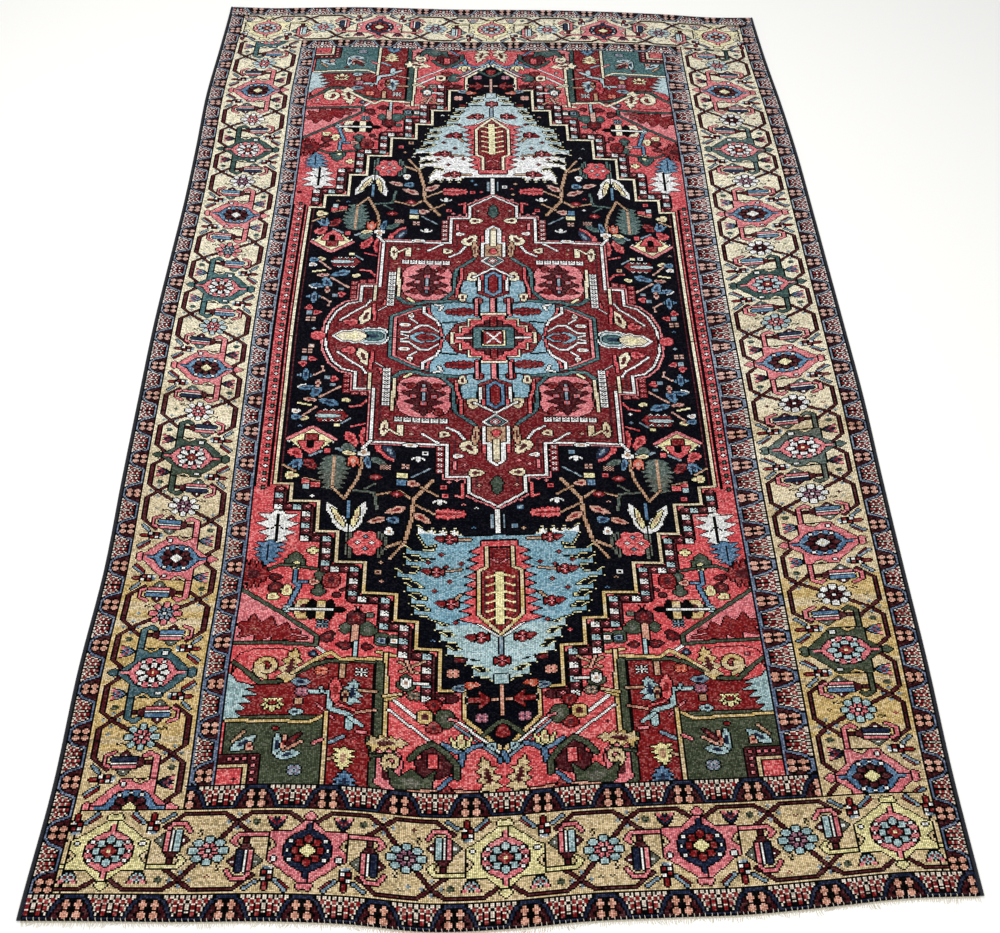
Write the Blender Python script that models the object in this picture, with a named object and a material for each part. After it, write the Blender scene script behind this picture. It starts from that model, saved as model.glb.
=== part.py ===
"""Hand-knotted wool rug with a stepped centre medallion, lying flat.

Metres, +Z up. +X runs across the rug and +Y along it, from the near end to the far end.
The origin is the centre of the rug's footprint, on its flat underside.

The outline is uneven, as on hand-woven rugs: two tables of edge stations say how far each
side and each end strays from a straight-sided rug of the nominal size. Every piece is laid
out in shares of the rug's width and length, so that all of them follow the same outline.
"""
import math
import random

import bpy

MM = 0.001

# Nominal rug, measured over the side cords and from the first row to the last.
RUG_WIDTH = 2.130
RUG_LENGTH = 3.377
RUG_THICKNESS = 0.0085

# Side edges at even steps from the near end to the far end, as mm to +X of the nominal side.
SIDE_STATIONS = (
    # left_mm, right_mm
    (-3, 1),
    (10, 3),
    (7, 14),
    (15, 19),
    (7, 26),
    (1, 35),
    (-4, 36),
    (-1, 36),
    (3, 36),
    (0, 35),
    (-6, 26),
    (4, 11),
    (12, 3),
)
# End edges at even steps from the left to the right, as mm outwards from the nominal end.
END_STATIONS = (
    # near_mm, far_mm
    (9, 36),
    (12, 28),
    (16, 34),
    (17, 38),
    (25, 32),
    (43, 25),
    (40, 24),
    (27, 23),
    (22, 19),
    (18, 10),
    (5, -3),
    (-10, -22),
    (-13, -23),
)

# Clearance between neighbouring pieces.
GAP = 0.0003

# Columns and rows of the body's top, apart from the narrow ones that round its edge.
BODY_COLUMNS = 28
BODY_ROWS = 44
# The worn pile rounds off at the edge.
EDGE_PROFILE = (
    # inset_m, height_share
    (0.0, 0.55),
    (0.0025, 0.86),
    (0.007, 1.0),
)
# Gentle unevenness of the pile's surface.
RIPPLE_HEIGHT = 0.0006
RIPPLE_WAVES_ACROSS = 3.4
RIPPLE_WAVES_ALONG = 4.3

# Side cords: dark wool wound round the outermost warps, flattened by the surface below.
CORD_WIDTH = 0.009
CORD_HEIGHT = 0.0078
CORD_SIDES = 8

# Fringe: a narrow web beyond the last row, with short frayed locks of warp ends.
WEB_DEPTH = 0.0035
WEB_HEIGHT = 0.0022
LOCKS_PER_COLUMN = 3
LOCK_SHORTEST = 0.007
LOCK_LONGEST = 0.017
LOCK_ROOT_WIDTH = 0.0080
LOCK_TIP_WIDTH = 0.0030
LOCK_TIP_HEIGHT = 0.0012
LOCK_LEAN = 0.006
FAR_WEAR = 0.7
FRINGE_SEED = 11
# Which of the web's four walls, counted from the one beside the body, faces outwards.
OUTER_WALL = 2


def smooth_read(values, share):
    """Reads evenly spaced stations at a share of 0 to 1, on a smooth curve through them."""
    place = min(max(share, 0.0), 1.0) * (len(values) - 1)
    first = min(int(place), len(values) - 2)
    t = place - first
    before = values[max(first - 1, 0)]
    start = values[first]
    end = values[first + 1]
    after = values[min(first + 2, len(values) - 1)]
    leave = (end - before) / 2
    arrive = (after - start) / 2
    return (
        start * (1 + 2 * t) * (1 - t) ** 2
        + leave * t * (1 - t) ** 2
        + end * t * t * (3 - 2 * t)
        - arrive * t * t * (1 - t)
    )


def left_side(v):
    """X of the left side at a share v of the length."""
    return -RUG_WIDTH / 2 + MM * smooth_read([left for left, _ in SIDE_STATIONS], v)


def right_side(v):
    """X of the right side at a share v of the length."""
    return RUG_WIDTH / 2 + MM * smooth_read([right for _, right in SIDE_STATIONS], v)


def near_end(u):
    """Y of the near end at a share u of the width."""
    return -RUG_LENGTH / 2 - MM * smooth_read([near for near, _ in END_STATIONS], u)


def far_end(u):
    """Y of the far end at a share u of the width."""
    return RUG_LENGTH / 2 + MM * smooth_read([far for _, far in END_STATIONS], u)


def rug_point(u, v, height):
    """The point at a share u across and v along the rug, at a height over its underside."""
    x = left_side(v) + (right_side(v) - left_side(v)) * u
    y = near_end(u) + (far_end(u) - near_end(u)) * v
    return (x, y, height)


def edge_shares(first, last, size, count):
    """Shares from first to last: close together where the edge is rounded, even between."""
    insets = [inset / size for inset, _ in EDGE_PROFILE]
    low = first + insets[-1]
    high = last - insets[-1]
    evenly = [low + (high - low) * i / count for i in range(count + 1)]
    rising = [first + inset for inset in insets[:-1]]
    falling = [last - inset for inset in reversed(insets[:-1])]
    return rising + evenly + falling


def body_shares_across():
    """Shares of the width where the body's columns stand, between the two side cords."""
    side = (CORD_WIDTH + GAP) / RUG_WIDTH
    return edge_shares(side, 1 - side, RUG_WIDTH, BODY_COLUMNS)


def body_shares_along():
    """Shares of the length where the body's rows and the cords' sections stand."""
    return edge_shares(0.0, 1.0, RUG_LENGTH, BODY_ROWS)


def height_share(place, count):
    """Height share of one of count stations, by how near it is to either edge."""
    step = min(place, count - 1 - place, len(EDGE_PROFILE) - 1)
    return EDGE_PROFILE[step][1]


def ripple(u, v):
    """Unevenness of the pile's surface at shares u and v."""
    across = math.sin(2 * math.pi * (RIPPLE_WAVES_ACROSS * u + 0.7 * v))
    along = math.sin(2 * math.pi * (RIPPLE_WAVES_ALONG * v - 0.9 * u))
    return RIPPLE_HEIGHT * across * along


def rug_body():
    """One slab of knotted pile on its foundation, flat below and rounded at its edges."""
    shares_u = body_shares_across()
    shares_v = body_shares_along()
    columns = len(shares_u)
    rows = len(shares_v)
    points = []
    for j, v in enumerate(shares_v):
        for i, u in enumerate(shares_u):
            share = min(height_share(i, columns), height_share(j, rows))
            rise = ripple(u, v) if share == 1.0 else 0.0
            points.append(rug_point(u, v, RUG_THICKNESS * share + rise))
    faces = []
    for j in range(rows - 1):
        for i in range(columns - 1):
            corner = j * columns + i
            faces.append((corner, corner + 1, corner + columns + 1, corner + columns))
    rim = list(range(columns))
    rim += [j * columns + columns - 1 for j in range(1, rows)]
    rim += [(rows - 1) * columns + i for i in range(columns - 2, -1, -1)]
    rim += [j * columns for j in range(rows - 2, 0, -1)]
    first_below = len(points)
    points += [(points[place][0], points[place][1], 0.0) for place in rim]
    for k in range(len(rim)):
        after = (k + 1) % len(rim)
        faces.append((rim[after], rim[k], first_below + k, first_below + after))
    faces.append([first_below + k for k in reversed(range(len(rim)))])
    return points, faces


def side_cord(first_share):
    """A cord along one side: an eight-sided section that rests on a flat, swept along the side."""
    width_share = CORD_WIDTH / RUG_WIDTH
    reach = math.cos(math.pi / CORD_SIDES)
    points = []
    for v in body_shares_along():
        for k in range(CORD_SIDES):
            angle = 2 * math.pi * (k + 0.5) / CORD_SIDES
            across = (1 + math.cos(angle) / reach) / 2
            height = CORD_HEIGHT * (1 + math.sin(angle) / reach) / 2
            points.append(rug_point(first_share + width_share * across, v, height))
    sections = len(points) // CORD_SIDES
    faces = []
    for section in range(sections - 1):
        start = section * CORD_SIDES
        for k in range(CORD_SIDES):
            beside = (k + 1) % CORD_SIDES
            next_start = start + CORD_SIDES
            faces.append((start + beside, start + k, next_start + k, next_start + beside))
    faces.append(list(range(CORD_SIDES)))
    faces.append([len(points) - 1 - k for k in range(CORD_SIDES)])
    return points, faces


def web_line(end_share):
    """The body's end edge as (x, y) corners, which the web follows a gap away."""
    return [rug_point(u, end_share, 0.0)[:2] for u in body_shares_across()]


def lock_stations(line):
    """Places along the web as (x, y, starts_a_lock), with each lock between a pair of them."""
    stations = []
    for (x0, y0), (x1, y1) in zip(line, line[1:]):
        stations.append((x0, y0, False))
        if x1 - x0 < LOCKS_PER_COLUMN * 2 * LOCK_ROOT_WIDTH:
            continue
        for lock in range(LOCKS_PER_COLUMN):
            middle = (lock + 0.5) / LOCKS_PER_COLUMN
            half = LOCK_ROOT_WIDTH / 2 / (x1 - x0)
            for share, starts in ((middle - half, True), (middle + half, False)):
                stations.append((x0 + (x1 - x0) * share, y0 + (y1 - y0) * share, starts))
    stations.append((*line[-1], False))
    return stations


def fringe(end_share, outwards, wear):
    """A web beyond one end with short locks on it, all resting flat. outwards is +1 or -1."""
    chance = random.Random(FRINGE_SEED + int(outwards))
    stations = lock_stations(web_line(end_share))
    points = []
    for x, y, _ in stations:
        inner = y + outwards * GAP
        outer = inner + outwards * WEB_DEPTH
        points += [(x, inner, 0.0), (x, inner, WEB_HEIGHT), (x, outer, WEB_HEIGHT), (x, outer, 0.0)]
    faces = [(0, 1, 2, 3)]
    for place in range(len(stations) - 1):
        here = 4 * place
        there = here + 4
        for k in range(4):
            beside = (k + 1) % 4
            if k == OUTER_WALL and stations[place][2]:
                faces += lock_faces(points, here, chance, outwards, wear)
            else:
                faces.append((here + k, there + k, there + beside, here + beside))
    last = 4 * (len(stations) - 1)
    faces.append((last + 3, last + 2, last + 1, last))
    if outwards < 0:
        faces = [tuple(reversed(face)) for face in faces]
    return points, faces


def lock_faces(points, here, chance, outwards, wear):
    """Adds one lock's tip to points and returns its faces, from the web's outer wall to the tip."""
    there = here + 4
    length = wear * chance.uniform(LOCK_SHORTEST, LOCK_LONGEST)
    lean = chance.uniform(-LOCK_LEAN, LOCK_LEAN)
    x = (points[here + 2][0] + points[there + 2][0]) / 2 + lean
    y = (points[here + 2][1] + points[there + 2][1]) / 2 + outwards * length
    tip = len(points)
    for side in (-1, 1):
        points.append((x + side * LOCK_TIP_WIDTH / 2, y, LOCK_TIP_HEIGHT))
        points.append((x + side * LOCK_TIP_WIDTH / 2, y, 0.0))
    return [
        (here + 2, there + 2, tip + 2, tip),
        (tip + 1, tip + 3, there + 3, here + 3),
        (here + 3, here + 2, tip, tip + 1),
        (there + 2, there + 3, tip + 3, tip + 2),
        (tip, tip + 2, tip + 3, tip + 1),
    ]


def wool(name, colour, roughness):
    """A plain matt material in a piece's main colour."""
    material = bpy.data.materials.new(name)
    material.use_nodes = True
    shader = material.node_tree.nodes["Principled BSDF"]
    shader.inputs["Base Color"].default_value = (*colour, 1.0)
    shader.inputs["Roughness"].default_value = roughness
    shader.inputs["Metallic"].default_value = 0.0
    return material


def add_piece(name, points, faces, material):
    """Makes one named mesh object."""
    mesh = bpy.data.meshes.new(name)
    mesh.from_pydata(points, [], faces)
    mesh.update()
    mesh.materials.append(material)
    piece = bpy.data.objects.new(name, mesh)
    bpy.context.scene.collection.objects.link(piece)
    return piece


def centred(shapes):
    """The shapes moved so that the box round them all is centred on the origin in X and Y."""
    every = [point for points, _ in shapes.values() for point in points]
    middle_x = (min(p[0] for p in every) + max(p[0] for p in every)) / 2
    middle_y = (min(p[1] for p in every) + max(p[1] for p in every)) / 2
    return {
        name: ([(x - middle_x, y - middle_y, z) for x, y, z in points], faces)
        for name, (points, faces) in shapes.items()
    }


def clear_scene():
    """Removes whatever the file already holds."""
    for existing in list(bpy.data.objects):
        bpy.data.objects.remove(existing, do_unlink=True)


def main():
    clear_scene()
    dark_wool = wool("dark_overcast_wool", (0.012, 0.014, 0.028), 0.85)
    cotton = wool("ivory_cotton", (0.70, 0.64, 0.52), 0.90)
    materials = {
        "rug_body": wool("madder_wool_pile", (0.28, 0.045, 0.050), 0.85),
        "selvedge_left": dark_wool,
        "selvedge_right": dark_wool,
        "fringe_near": cotton,
        "fringe_far": cotton,
    }
    shapes = {
        "rug_body": rug_body(),
        "selvedge_left": side_cord(0.0),
        "selvedge_right": side_cord(1 - CORD_WIDTH / RUG_WIDTH),
        "fringe_near": fringe(0.0, -1.0, 1.0),
        "fringe_far": fringe(1.0, 1.0, FAR_WEAR),
    }
    for name, (points, faces) in centred(shapes).items():
        add_piece(name, points, faces, materials[name])


main()
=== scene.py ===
"""Looks of a hand-knotted wool rug with a stepped centre medallion, laid flat on a pale floor.

The pattern is woven, not painted: a cartoon, as a weaver reads it, gives the dye of each knot on
a grid of warps and rows, and the pile's mesh carries those knots. The border and its guards are
repeats, and the field is drawn in one quarter and mirrored, as a weaver reads a cartoon.
"""
import math
import random

import bpy
import numpy as np
from bpy.props import FloatProperty, FloatVectorProperty, IntProperty, PointerProperty
from mathutils import Matrix, Vector


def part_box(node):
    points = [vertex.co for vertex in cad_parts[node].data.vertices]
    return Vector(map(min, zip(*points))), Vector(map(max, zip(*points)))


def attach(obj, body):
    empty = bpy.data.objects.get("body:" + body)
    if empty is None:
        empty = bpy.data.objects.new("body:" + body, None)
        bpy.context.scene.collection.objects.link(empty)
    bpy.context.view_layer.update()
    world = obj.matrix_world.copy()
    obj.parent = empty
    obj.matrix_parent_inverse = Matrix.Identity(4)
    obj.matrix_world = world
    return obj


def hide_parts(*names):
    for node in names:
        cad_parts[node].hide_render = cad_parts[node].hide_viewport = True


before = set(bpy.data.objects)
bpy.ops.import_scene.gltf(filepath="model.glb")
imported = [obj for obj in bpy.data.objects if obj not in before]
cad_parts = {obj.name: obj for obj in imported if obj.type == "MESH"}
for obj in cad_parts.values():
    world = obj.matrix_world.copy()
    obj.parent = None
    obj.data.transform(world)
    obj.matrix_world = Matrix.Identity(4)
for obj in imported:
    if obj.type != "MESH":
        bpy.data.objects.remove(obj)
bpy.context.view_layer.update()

bl_info = {
    "name": "Knotted medallion rug",
    "version": (1, 0, 0),
    "blender": (4, 5, 0),
    "location": "3D View > Sidebar > Rug",
    "description": "Weaves a knotted wool rug round its fixed frame and sets the stage for it",
    "category": "Add Mesh",
}

MM = 0.001
BODY = "root"

# ---------------------------------------------------------------------------
# The rug's outline, in the same named sizes as the frame's solids
# ---------------------------------------------------------------------------
RUG_WIDTH = 2.130
RUG_LENGTH = 3.377
# Side edges at even steps from the near end to the far end, as mm to +X of the nominal side.
SIDE_STATIONS = (
    # left_mm, right_mm
    (-3, 1), (10, 3), (7, 14), (15, 19), (7, 26), (1, 35), (-4, 36),
    (-1, 36), (3, 36), (0, 35), (-6, 26), (4, 11), (12, 3),
)
# End edges at even steps from the left to the right, as mm outwards from the nominal end.
END_STATIONS = (
    # near_mm, far_mm
    (9, 36), (12, 28), (16, 34), (17, 38), (25, 32), (43, 25), (40, 24),
    (27, 23), (22, 19), (18, 10), (5, -3), (-10, -22), (-13, -23),
)
CORD_WIDTH = 0.009
CORD_HEIGHT = 0.0078
GAP = 0.0003
# The pile lies in shallow ripples: their height, and how many across and along the rug.
RIPPLE_HEIGHT = 0.0006
RIPPLES_ACROSS = 3.4
RIPPLES_ALONG = 4.3

# The loom: knots across and rows of knots along the body between the side cords.
COLUMNS = 480
ROWS = 1056
# Knots are carried in blocks of this many warps by this many rows, one face of mesh each.
BLOCK = 4
# The dyes fit the five binary places that a knot takes in its block's numbers.
DYE_PLACES = 32


def smooth_read(values, share):
    """Reads evenly spaced stations at shares of 0 to 1, on a smooth curve through them."""
    values = np.asarray(values, float)
    last = len(values) - 1
    place = np.clip(share, 0.0, 1.0) * last
    first = np.minimum(place.astype(int), last - 1)
    t = place - first
    before = values[np.maximum(first - 1, 0)]
    start = values[first]
    end = values[first + 1]
    after = values[np.minimum(first + 2, last)]
    leave = (end - before) / 2
    arrive = (after - start) / 2
    return (
        start * (1 + 2 * t) * (1 - t) ** 2
        + leave * t * (1 - t) ** 2
        + end * t * t * (3 - 2 * t)
        - arrive * t * t * (1 - t)
    )


def outline_point(u, v):
    """X and Y of shares u across and v along the rug, before its origin is set."""
    sides = np.array(SIDE_STATIONS, float)
    ends = np.array(END_STATIONS, float)
    left = -RUG_WIDTH / 2 + MM * smooth_read(sides[:, 0], v)
    right = RUG_WIDTH / 2 + MM * smooth_read(sides[:, 1], v)
    near = -RUG_LENGTH / 2 - MM * smooth_read(ends[:, 0], u)
    far = RUG_LENGTH / 2 + MM * smooth_read(ends[:, 1], u)
    return left + (right - left) * u, near + (far - near) * v


def origin_shift():
    """How far the frame's origin lies from the outline's own, from the body's box."""
    low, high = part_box("rug_body")
    side = np.linspace(0.0, 1.0, 400)
    first = np.full_like(side, CORD_SHARE)
    x_left, _ = outline_point(first, side)
    x_right, _ = outline_point(1 - first, side)
    _, y_near = outline_point(side, 0 * side)
    _, y_far = outline_point(side, 0 * side + 1)
    middle_x = (x_left.min() + x_right.max()) / 2
    middle_y = (y_near.min() + y_far.max()) / 2
    return (low.x + high.x) / 2 - middle_x, (low.y + high.y) / 2 - middle_y


# Share of the width taken by a side cord and its clearance.
CORD_SHARE = (CORD_WIDTH + GAP) / RUG_WIDTH
SHIFT_X, SHIFT_Y = origin_shift()
PILE_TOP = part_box("rug_body")[1].z - RIPPLE_HEIGHT
# The foundation's knotted back lies below the pile: a warp, a weft and the knots' collars.
BACK_TOP = 0.0026


def rug_point(u, v):
    """X and Y of shares u across and v along the rug, in the frame."""
    x, y = outline_point(np.asarray(u, float), np.asarray(v, float))
    return x + SHIFT_X, y + SHIFT_Y


# ---------------------------------------------------------------------------
# Dyes
# ---------------------------------------------------------------------------
def linear(hex_colour):
    """An sRGB hex colour as linear red, green and blue."""
    parts = [int(hex_colour[i:i + 2], 16) / 255 for i in (1, 3, 5)]
    return tuple(p / 12.92 if p <= 0.04045 else ((p + 0.055) / 1.055) ** 2.4 for p in parts)


# Each dye as it lies at the near end and at the far end: the weaver took up new lots of yarn
# as the rug grew, and the near end has kept its depth better.
DYES = (
    # key, name, near lot, far lot
    ("k", "iron black outline", "#050404", "#080607"),
    ("n", "midnight navy", "#06070f", "#0a0a12"),
    ("N", "guard blue", "#1a2238", "#28344a"),
    ("b", "indigo mid blue", "#4a6c8a", "#56809e"),
    ("B", "sky blue", "#6b97a6", "#82a8b8"),
    ("l", "pale indigo", "#94b0b1", "#b0c6ca"),
    ("w", "undyed ivory", "#dddcd6", "#e6e6e4"),
    ("r", "deep madder", "#7c1a1c", "#7a1c22"),
    ("R", "medallion madder", "#6c1b1e", "#731e24"),
    ("m", "brick madder", "#45151a", "#4c1b20"),
    ("s", "rose madder", "#c9484b", "#c64d54"),
    ("p", "faded pink", "#cd6a70", "#d6787d"),
    ("o", "orange madder", "#c45038", "#c85a46"),
    ("g", "camel gold", "#c5ad80", "#e7dec1"),
    ("y", "straw", "#d8cd90", "#e8dfb2"),
    ("t", "tan", "#ae8566", "#b48e70"),
    ("e", "peach", "#c68c74", "#c69c90"),
    ("v", "olive green", "#3f4633", "#37504c"),
    ("V", "grey green", "#57574a", "#4f6663"),
    ("q", "teal", "#3c5960", "#44686a"),
    ("u", "dull mauve", "#8a586a", "#906276"),
    ("z", "pale ground", "#cbbdab", "#ded9d3"),
    ("h", "grey blue", "#6c8290", "#7d93a1"),
    ("H", "guard grey blue", "#56657e", "#7b8898"),
    ("M", "maroon ground", "#3a1015", "#2c1217"),
    ("G", "old gold", "#c2a466", "#ccb27c"),
)
DYE_NUMBER = {row[0]: number for number, row in enumerate(DYES)}


def near_lot(key):
    """The hex colour of a dye's near lot."""
    return DYES[DYE_NUMBER[key]][2]


# ---------------------------------------------------------------------------
# Guard stripes and the main border
# ---------------------------------------------------------------------------
# Depths in knots from the edge inwards, at the sides and at the ends: where the outer guard
# starts, where the main border starts and ends, and where the inner guard ends.
SIDE_BANDS = (0, 13, 70, 85)
END_BANDS = (2, 17, 71, 88)
FIELD_X = COLUMNS // 2 - SIDE_BANDS[3]

# Half of a guard repeat, from the middle of a peach flower under its arch to the middle of the
# red florets on pale. The first line is the one that the arch touches.
GUARD_CHART = (
    "HHHHHkkzzkzzkzkzzkz",
    "kkkkHHkkzrrkzzkrrkz",
    "kkeekkHHkrrzrrzrrzk",
    "keeeekkHHkzkrrkzzkz",
    "keeeekMkHkzkzzkrrkz",
    "kkeekMMkHHkzrrkrrkz",
    "kkkkkMMMkHkzrrkzzkk",
    "kkeekkMMkHHkkzkrrkz",
    "keeeekkMMkHkzkkrrkk",
    "keeeekMMMkHHkkkkkkk",
    "kkeekMMMMMkHHHHHHHH",
)
# Half of a guard's repeat along it and the depth of its flowers, in knots.
SIDE_GUARD = (17.6, 11)
END_GUARD = (19.0, 15)
# Rosettes of the main border: this far apart, with a lesser flower halfway.
ROSETTE_STEP = 102
# Brick lattice of a quarter of the border's repeat, from a great rosette at (0, 0).
LATTICE = (
    ((-17, 2), (-24.5, 11), (-24.5, 31), (-18.5, 38), (-11, 30)),
    ((-18.5, 38), (-24.5, 45), (-24.5, 52)),
    ((-18.5, 38), (0, 51)),
    ((16, 27), (24.5, 36), (24.5, 52)),
)
# Black cluster with white and red squares.
CHECKER = (
    "..kkkkk.kk",
    "hkkrrkkwwk",
    "hhkrrkkwwk",
    "hhkkkkkkkk",
    "whkwwkrrkk",
    "wwkwwkrrkk",
    ".kkkkkkkk.",
)
# Left half of a bud that opens upwards, from its tip: 1 its corners, 2 its fan, 3 its stripes.
CARNATION = (
    "k11.k.",
    "k111k2",
    ".k122k",
    ".k2332",
    ".k2k32",
    "..k223",
    "..kk2k",
    "...kk2",
    "....kk",
    ".....k",
)


def guard_stripe(weaver, reach, repeat, first, inwards, line_dye):
    """A guard along b to both sides of 0, inwards saying which way its arches face."""
    half_repeat, depth = repeat
    last = len(GUARD_CHART[0]) - 1
    for b in range(-reach, reach):
        turn = abs((b + 0.5 - first) / half_repeat) % 2
        column = round(last * (turn if turn <= 1 else 2 - turn))
        for a in range(depth):
            row = (depth - 1 - a if inwards else a) * len(GUARD_CHART) // depth
            weaver.at(a + 0.5, b + 0.5).chart((GUARD_CHART[row][column],), {"H": line_dye})


def great_rosette(weaver, dyes):
    """A palmette rosette in its hooked frame, mirrored along the border."""
    frame_dye, ring_dye, petal_dye, core_dye, _ = dyes
    weaver.shape(((-18, -1), (-22, -3), (-26, 0), (-22, 3), (-18, 1)), frame_dye)
    weaver.shape(((18, -1), (22, -4), (25, -3), (24, 0), (25, 3), (22, 4), (18, 1)), frame_dye)
    for flip in (1, -1):
        half = weaver.at(0, 0, 1, flip)
        half.band(((-10, 19), (-10, 36), (-6, 39), (-4, 37)), frame_dye, 2.4)
        half.shape(
            ((-19, -1), (-19, 2), (-12, 9), (-11.5, 20), (7, 20), (8, 17), (11, 14), (20, 3), (20, -1)),
            frame_dye,
        )
        half.box(4, 6.5, 15.5, 18, "w")
        half.band(((-7, 20), (-3, 17.5), (0, 20)), "g", 1.2, "k")
    weaver.shape(((-18, 0), (-13, -2), (13, -2), (18, 0), (13, 2), (-13, 2)), ring_dye)
    weaver.rosette(12.0, 6, 0.4, ring_dye, 1.08)
    weaver.band(((-17, 0), (17, 0)), ring_dye, 2.2, None)
    weaver.rosette(7.6, 8, 0.3, "k", 1.1)
    petals(weaver, 3.4, 8.6, 8, petal_dye, 0.0, 1.12)
    weaver.shape(((-4.5, 0), (0, -4), (4.5, 0), (0, 4)), core_dye)
    weaver.box(-0.6, 0.6, -0.6, 0.6, "y", None)
    for a, b in ((-6, 9), (0, 10.4), (6, 9), (-6, -9), (0, -10.4), (6, -9)):
        weaver.box(a - 1, a + 1, b - 0.8, b + 0.8, "w")


def cylinder_motif(weaver, bar_dye):
    """A banded drum with a red cap and stem, a crown on either side and a hooked tail."""
    weaver.band(((15, 29), (18, 31), (18, 37), (13, 40)), "p", 1.8)
    weaver.shape(((3, 36), (11, 36), (7, 41)), "m")
    weaver.box(6.5, 7.6, 37, 38.5, "w", None)
    weaver.shape(((3, 27), (11, 27), (8, 23), (6, 23)), "V")
    weaver.box(6.5, 7.6, 25, 26.5, "w", None)
    weaver.band(((-9, 32), (-2, 32)), "m", 1.8)
    weaver.shape(((-4, 30.5), (0, 28), (0, 36), (-4, 33.5)), "m")
    weaver.box(0, 14, 33, 36, bar_dye)
    weaver.box(0, 14, 31, 32.2, "w")
    weaver.box(0, 13, 28, 29.8, "p")


def border_quarter(weaver, bar_dye):
    """What lies between a great rosette and the lesser flower, on both sides of the border."""
    for line in LATTICE:
        weaver.band(line, "m", 1.5)
    for a, b in ((-4.5, 0), (4.5, 0), (0, -5), (0, 5)):
        weaver.at(-18.5 + a, 38 + b).chart((".h.", "hhh", ".k."))
    cylinder_motif(weaver, bar_dye)
    weaver.at(15.5, 20).chart(CHECKER)
    weaver.band(((19, 15), (25, 10)), "h", 1.6)
    weaver.band(((20, 25), (24, 30)), "h", 1.6)
    weaver.band(((19, 13), (24, 8)), "r", 1.0)
    weaver.band(((21, 20), (24, 20)), "r", 1.6)
    weaver.at(-16.5, 17.5, -1, 1, True).chart(CARNATION, {"1": "p", "2": bar_dye, "3": "r"}, half=True)
    weaver.band(((-12, 17.5), (-9, 17.5)), "m", 1.0)
    weaver.at(-18.5, 28).chart((".vvv.", "vvVvv", ".vvkv", ".kvv."))
    weaver.at(11, 45).chart((".kk.k", "k..kk", "..k.."))


def border_run(weaver, first, count, schemes):
    """The main border along b, from the great rosette at b = first."""
    outer_first, dye_sets, flower_sets = schemes
    places = []
    for number in range(count):
        outer_arms = 1 if number % 2 == outer_first else -1
        dyes = dye_sets[number % len(dye_sets)]
        places.append((weaver.at(0, first + number * ROSETTE_STEP, outer_arms), dyes))
    for centre, dyes in places:
        for flip in (1, -1):
            border_quarter(centre.at(0, 0, 1, flip), dyes[4])
    for number, (centre, dyes) in enumerate(places):
        great_rosette(centre, dyes)
        blossom(centre.at(0, 51), *flower_sets[number % len(flower_sets)])
        blossom(centre.at(0, -51), *flower_sets[(number - 1) % len(flower_sets)])


# Dyes of the great rosettes in turn: frame, ring, petals, core and drum.
LEFT_ROSETTES = (
    ("p", "b", "m", "y", "N"),
    ("q", "p", "w", "r", "b"),
    ("p", "b", "m", "w", "b"),
    ("v", "p", "w", "r", "N"),
)
RIGHT_ROSETTES = (
    ("p", "b", "m", "y", "N"),
    ("v", "p", "l", "r", "b"),
    ("p", "b", "m", "w", "b"),
    ("V", "p", "w", "r", "N"),
)
END_ROSETTES = (
    ("y", "p", "l", "r", "l"),
    ("p", "N", "r", "y", "N"),
)
# Petals and hearts of the lesser flowers in turn.
LEFT_FLOWERS = (("l", "p"), ("p", "h"), ("w", "u"), ("w", "p"))
RIGHT_FLOWERS = (("l", "p"), ("w", "m"), ("w", "u"), ("w", "m"))
END_FLOWERS = (("l", "p"), ("l", "u"))
# Each side: bands, where its first rosette lies, depth of its inner guard's flowers, scheme.
SIDES = (
    (SIDE_BANDS, -455, 11, (1, LEFT_ROSETTES, LEFT_FLOWERS)),
    ((0, 13, 69, 87), -444, 15, (1, RIGHT_ROSETTES, RIGHT_FLOWERS)),
)
# Rosettes of a side's border and of an end's, and where an end's first one lies.
SIDE_ROSETTE_COUNT = 10
END_ROSETTE_COUNT = 5
END_FIRST = -204
# As a side's scheme: whether its even (0) or odd (1) rosettes lie unflipped, and their dyes.
END_SCHEME = (0, END_ROSETTES, END_FLOWERS)
# Where a flower's middle lies in each guard stripe, in knots from the middle of its edge.
INNER_SIDE_FLOWER = -363
OUTER_SIDE_FLOWER = -366
INNER_END_FLOWER = -18
OUTER_END_FLOWER = 12


def weave_band(edge, bands, half_length, first_rosette, count, schemes):
    """The main border along one edge, with a counting inwards from it."""
    border, inner = bands[1:3]
    reach = half_length - border
    edge.box(border, inner, -reach, reach, "g")
    border_run(edge.at((border + inner) / 2, 0), first_rosette, count, schemes)


def weave_guard(edge, start, end, reach, repeat, first, inwards, line_dye="H"):
    """One guard stripe between black lines, with a plain line on either side."""
    edge.box(start, end, -reach, reach, line_dye, None)
    for a in (start + 0.5, end - 0.5):
        edge.band(((a, -reach), (a, reach)), "k", 1.0, None)
    spare = end - start - repeat[1]
    stripe = edge.at(start + (spare - 1 if inwards else spare // 2), 0)
    guard_stripe(stripe, reach, repeat, first, inwards, line_dye)


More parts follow.
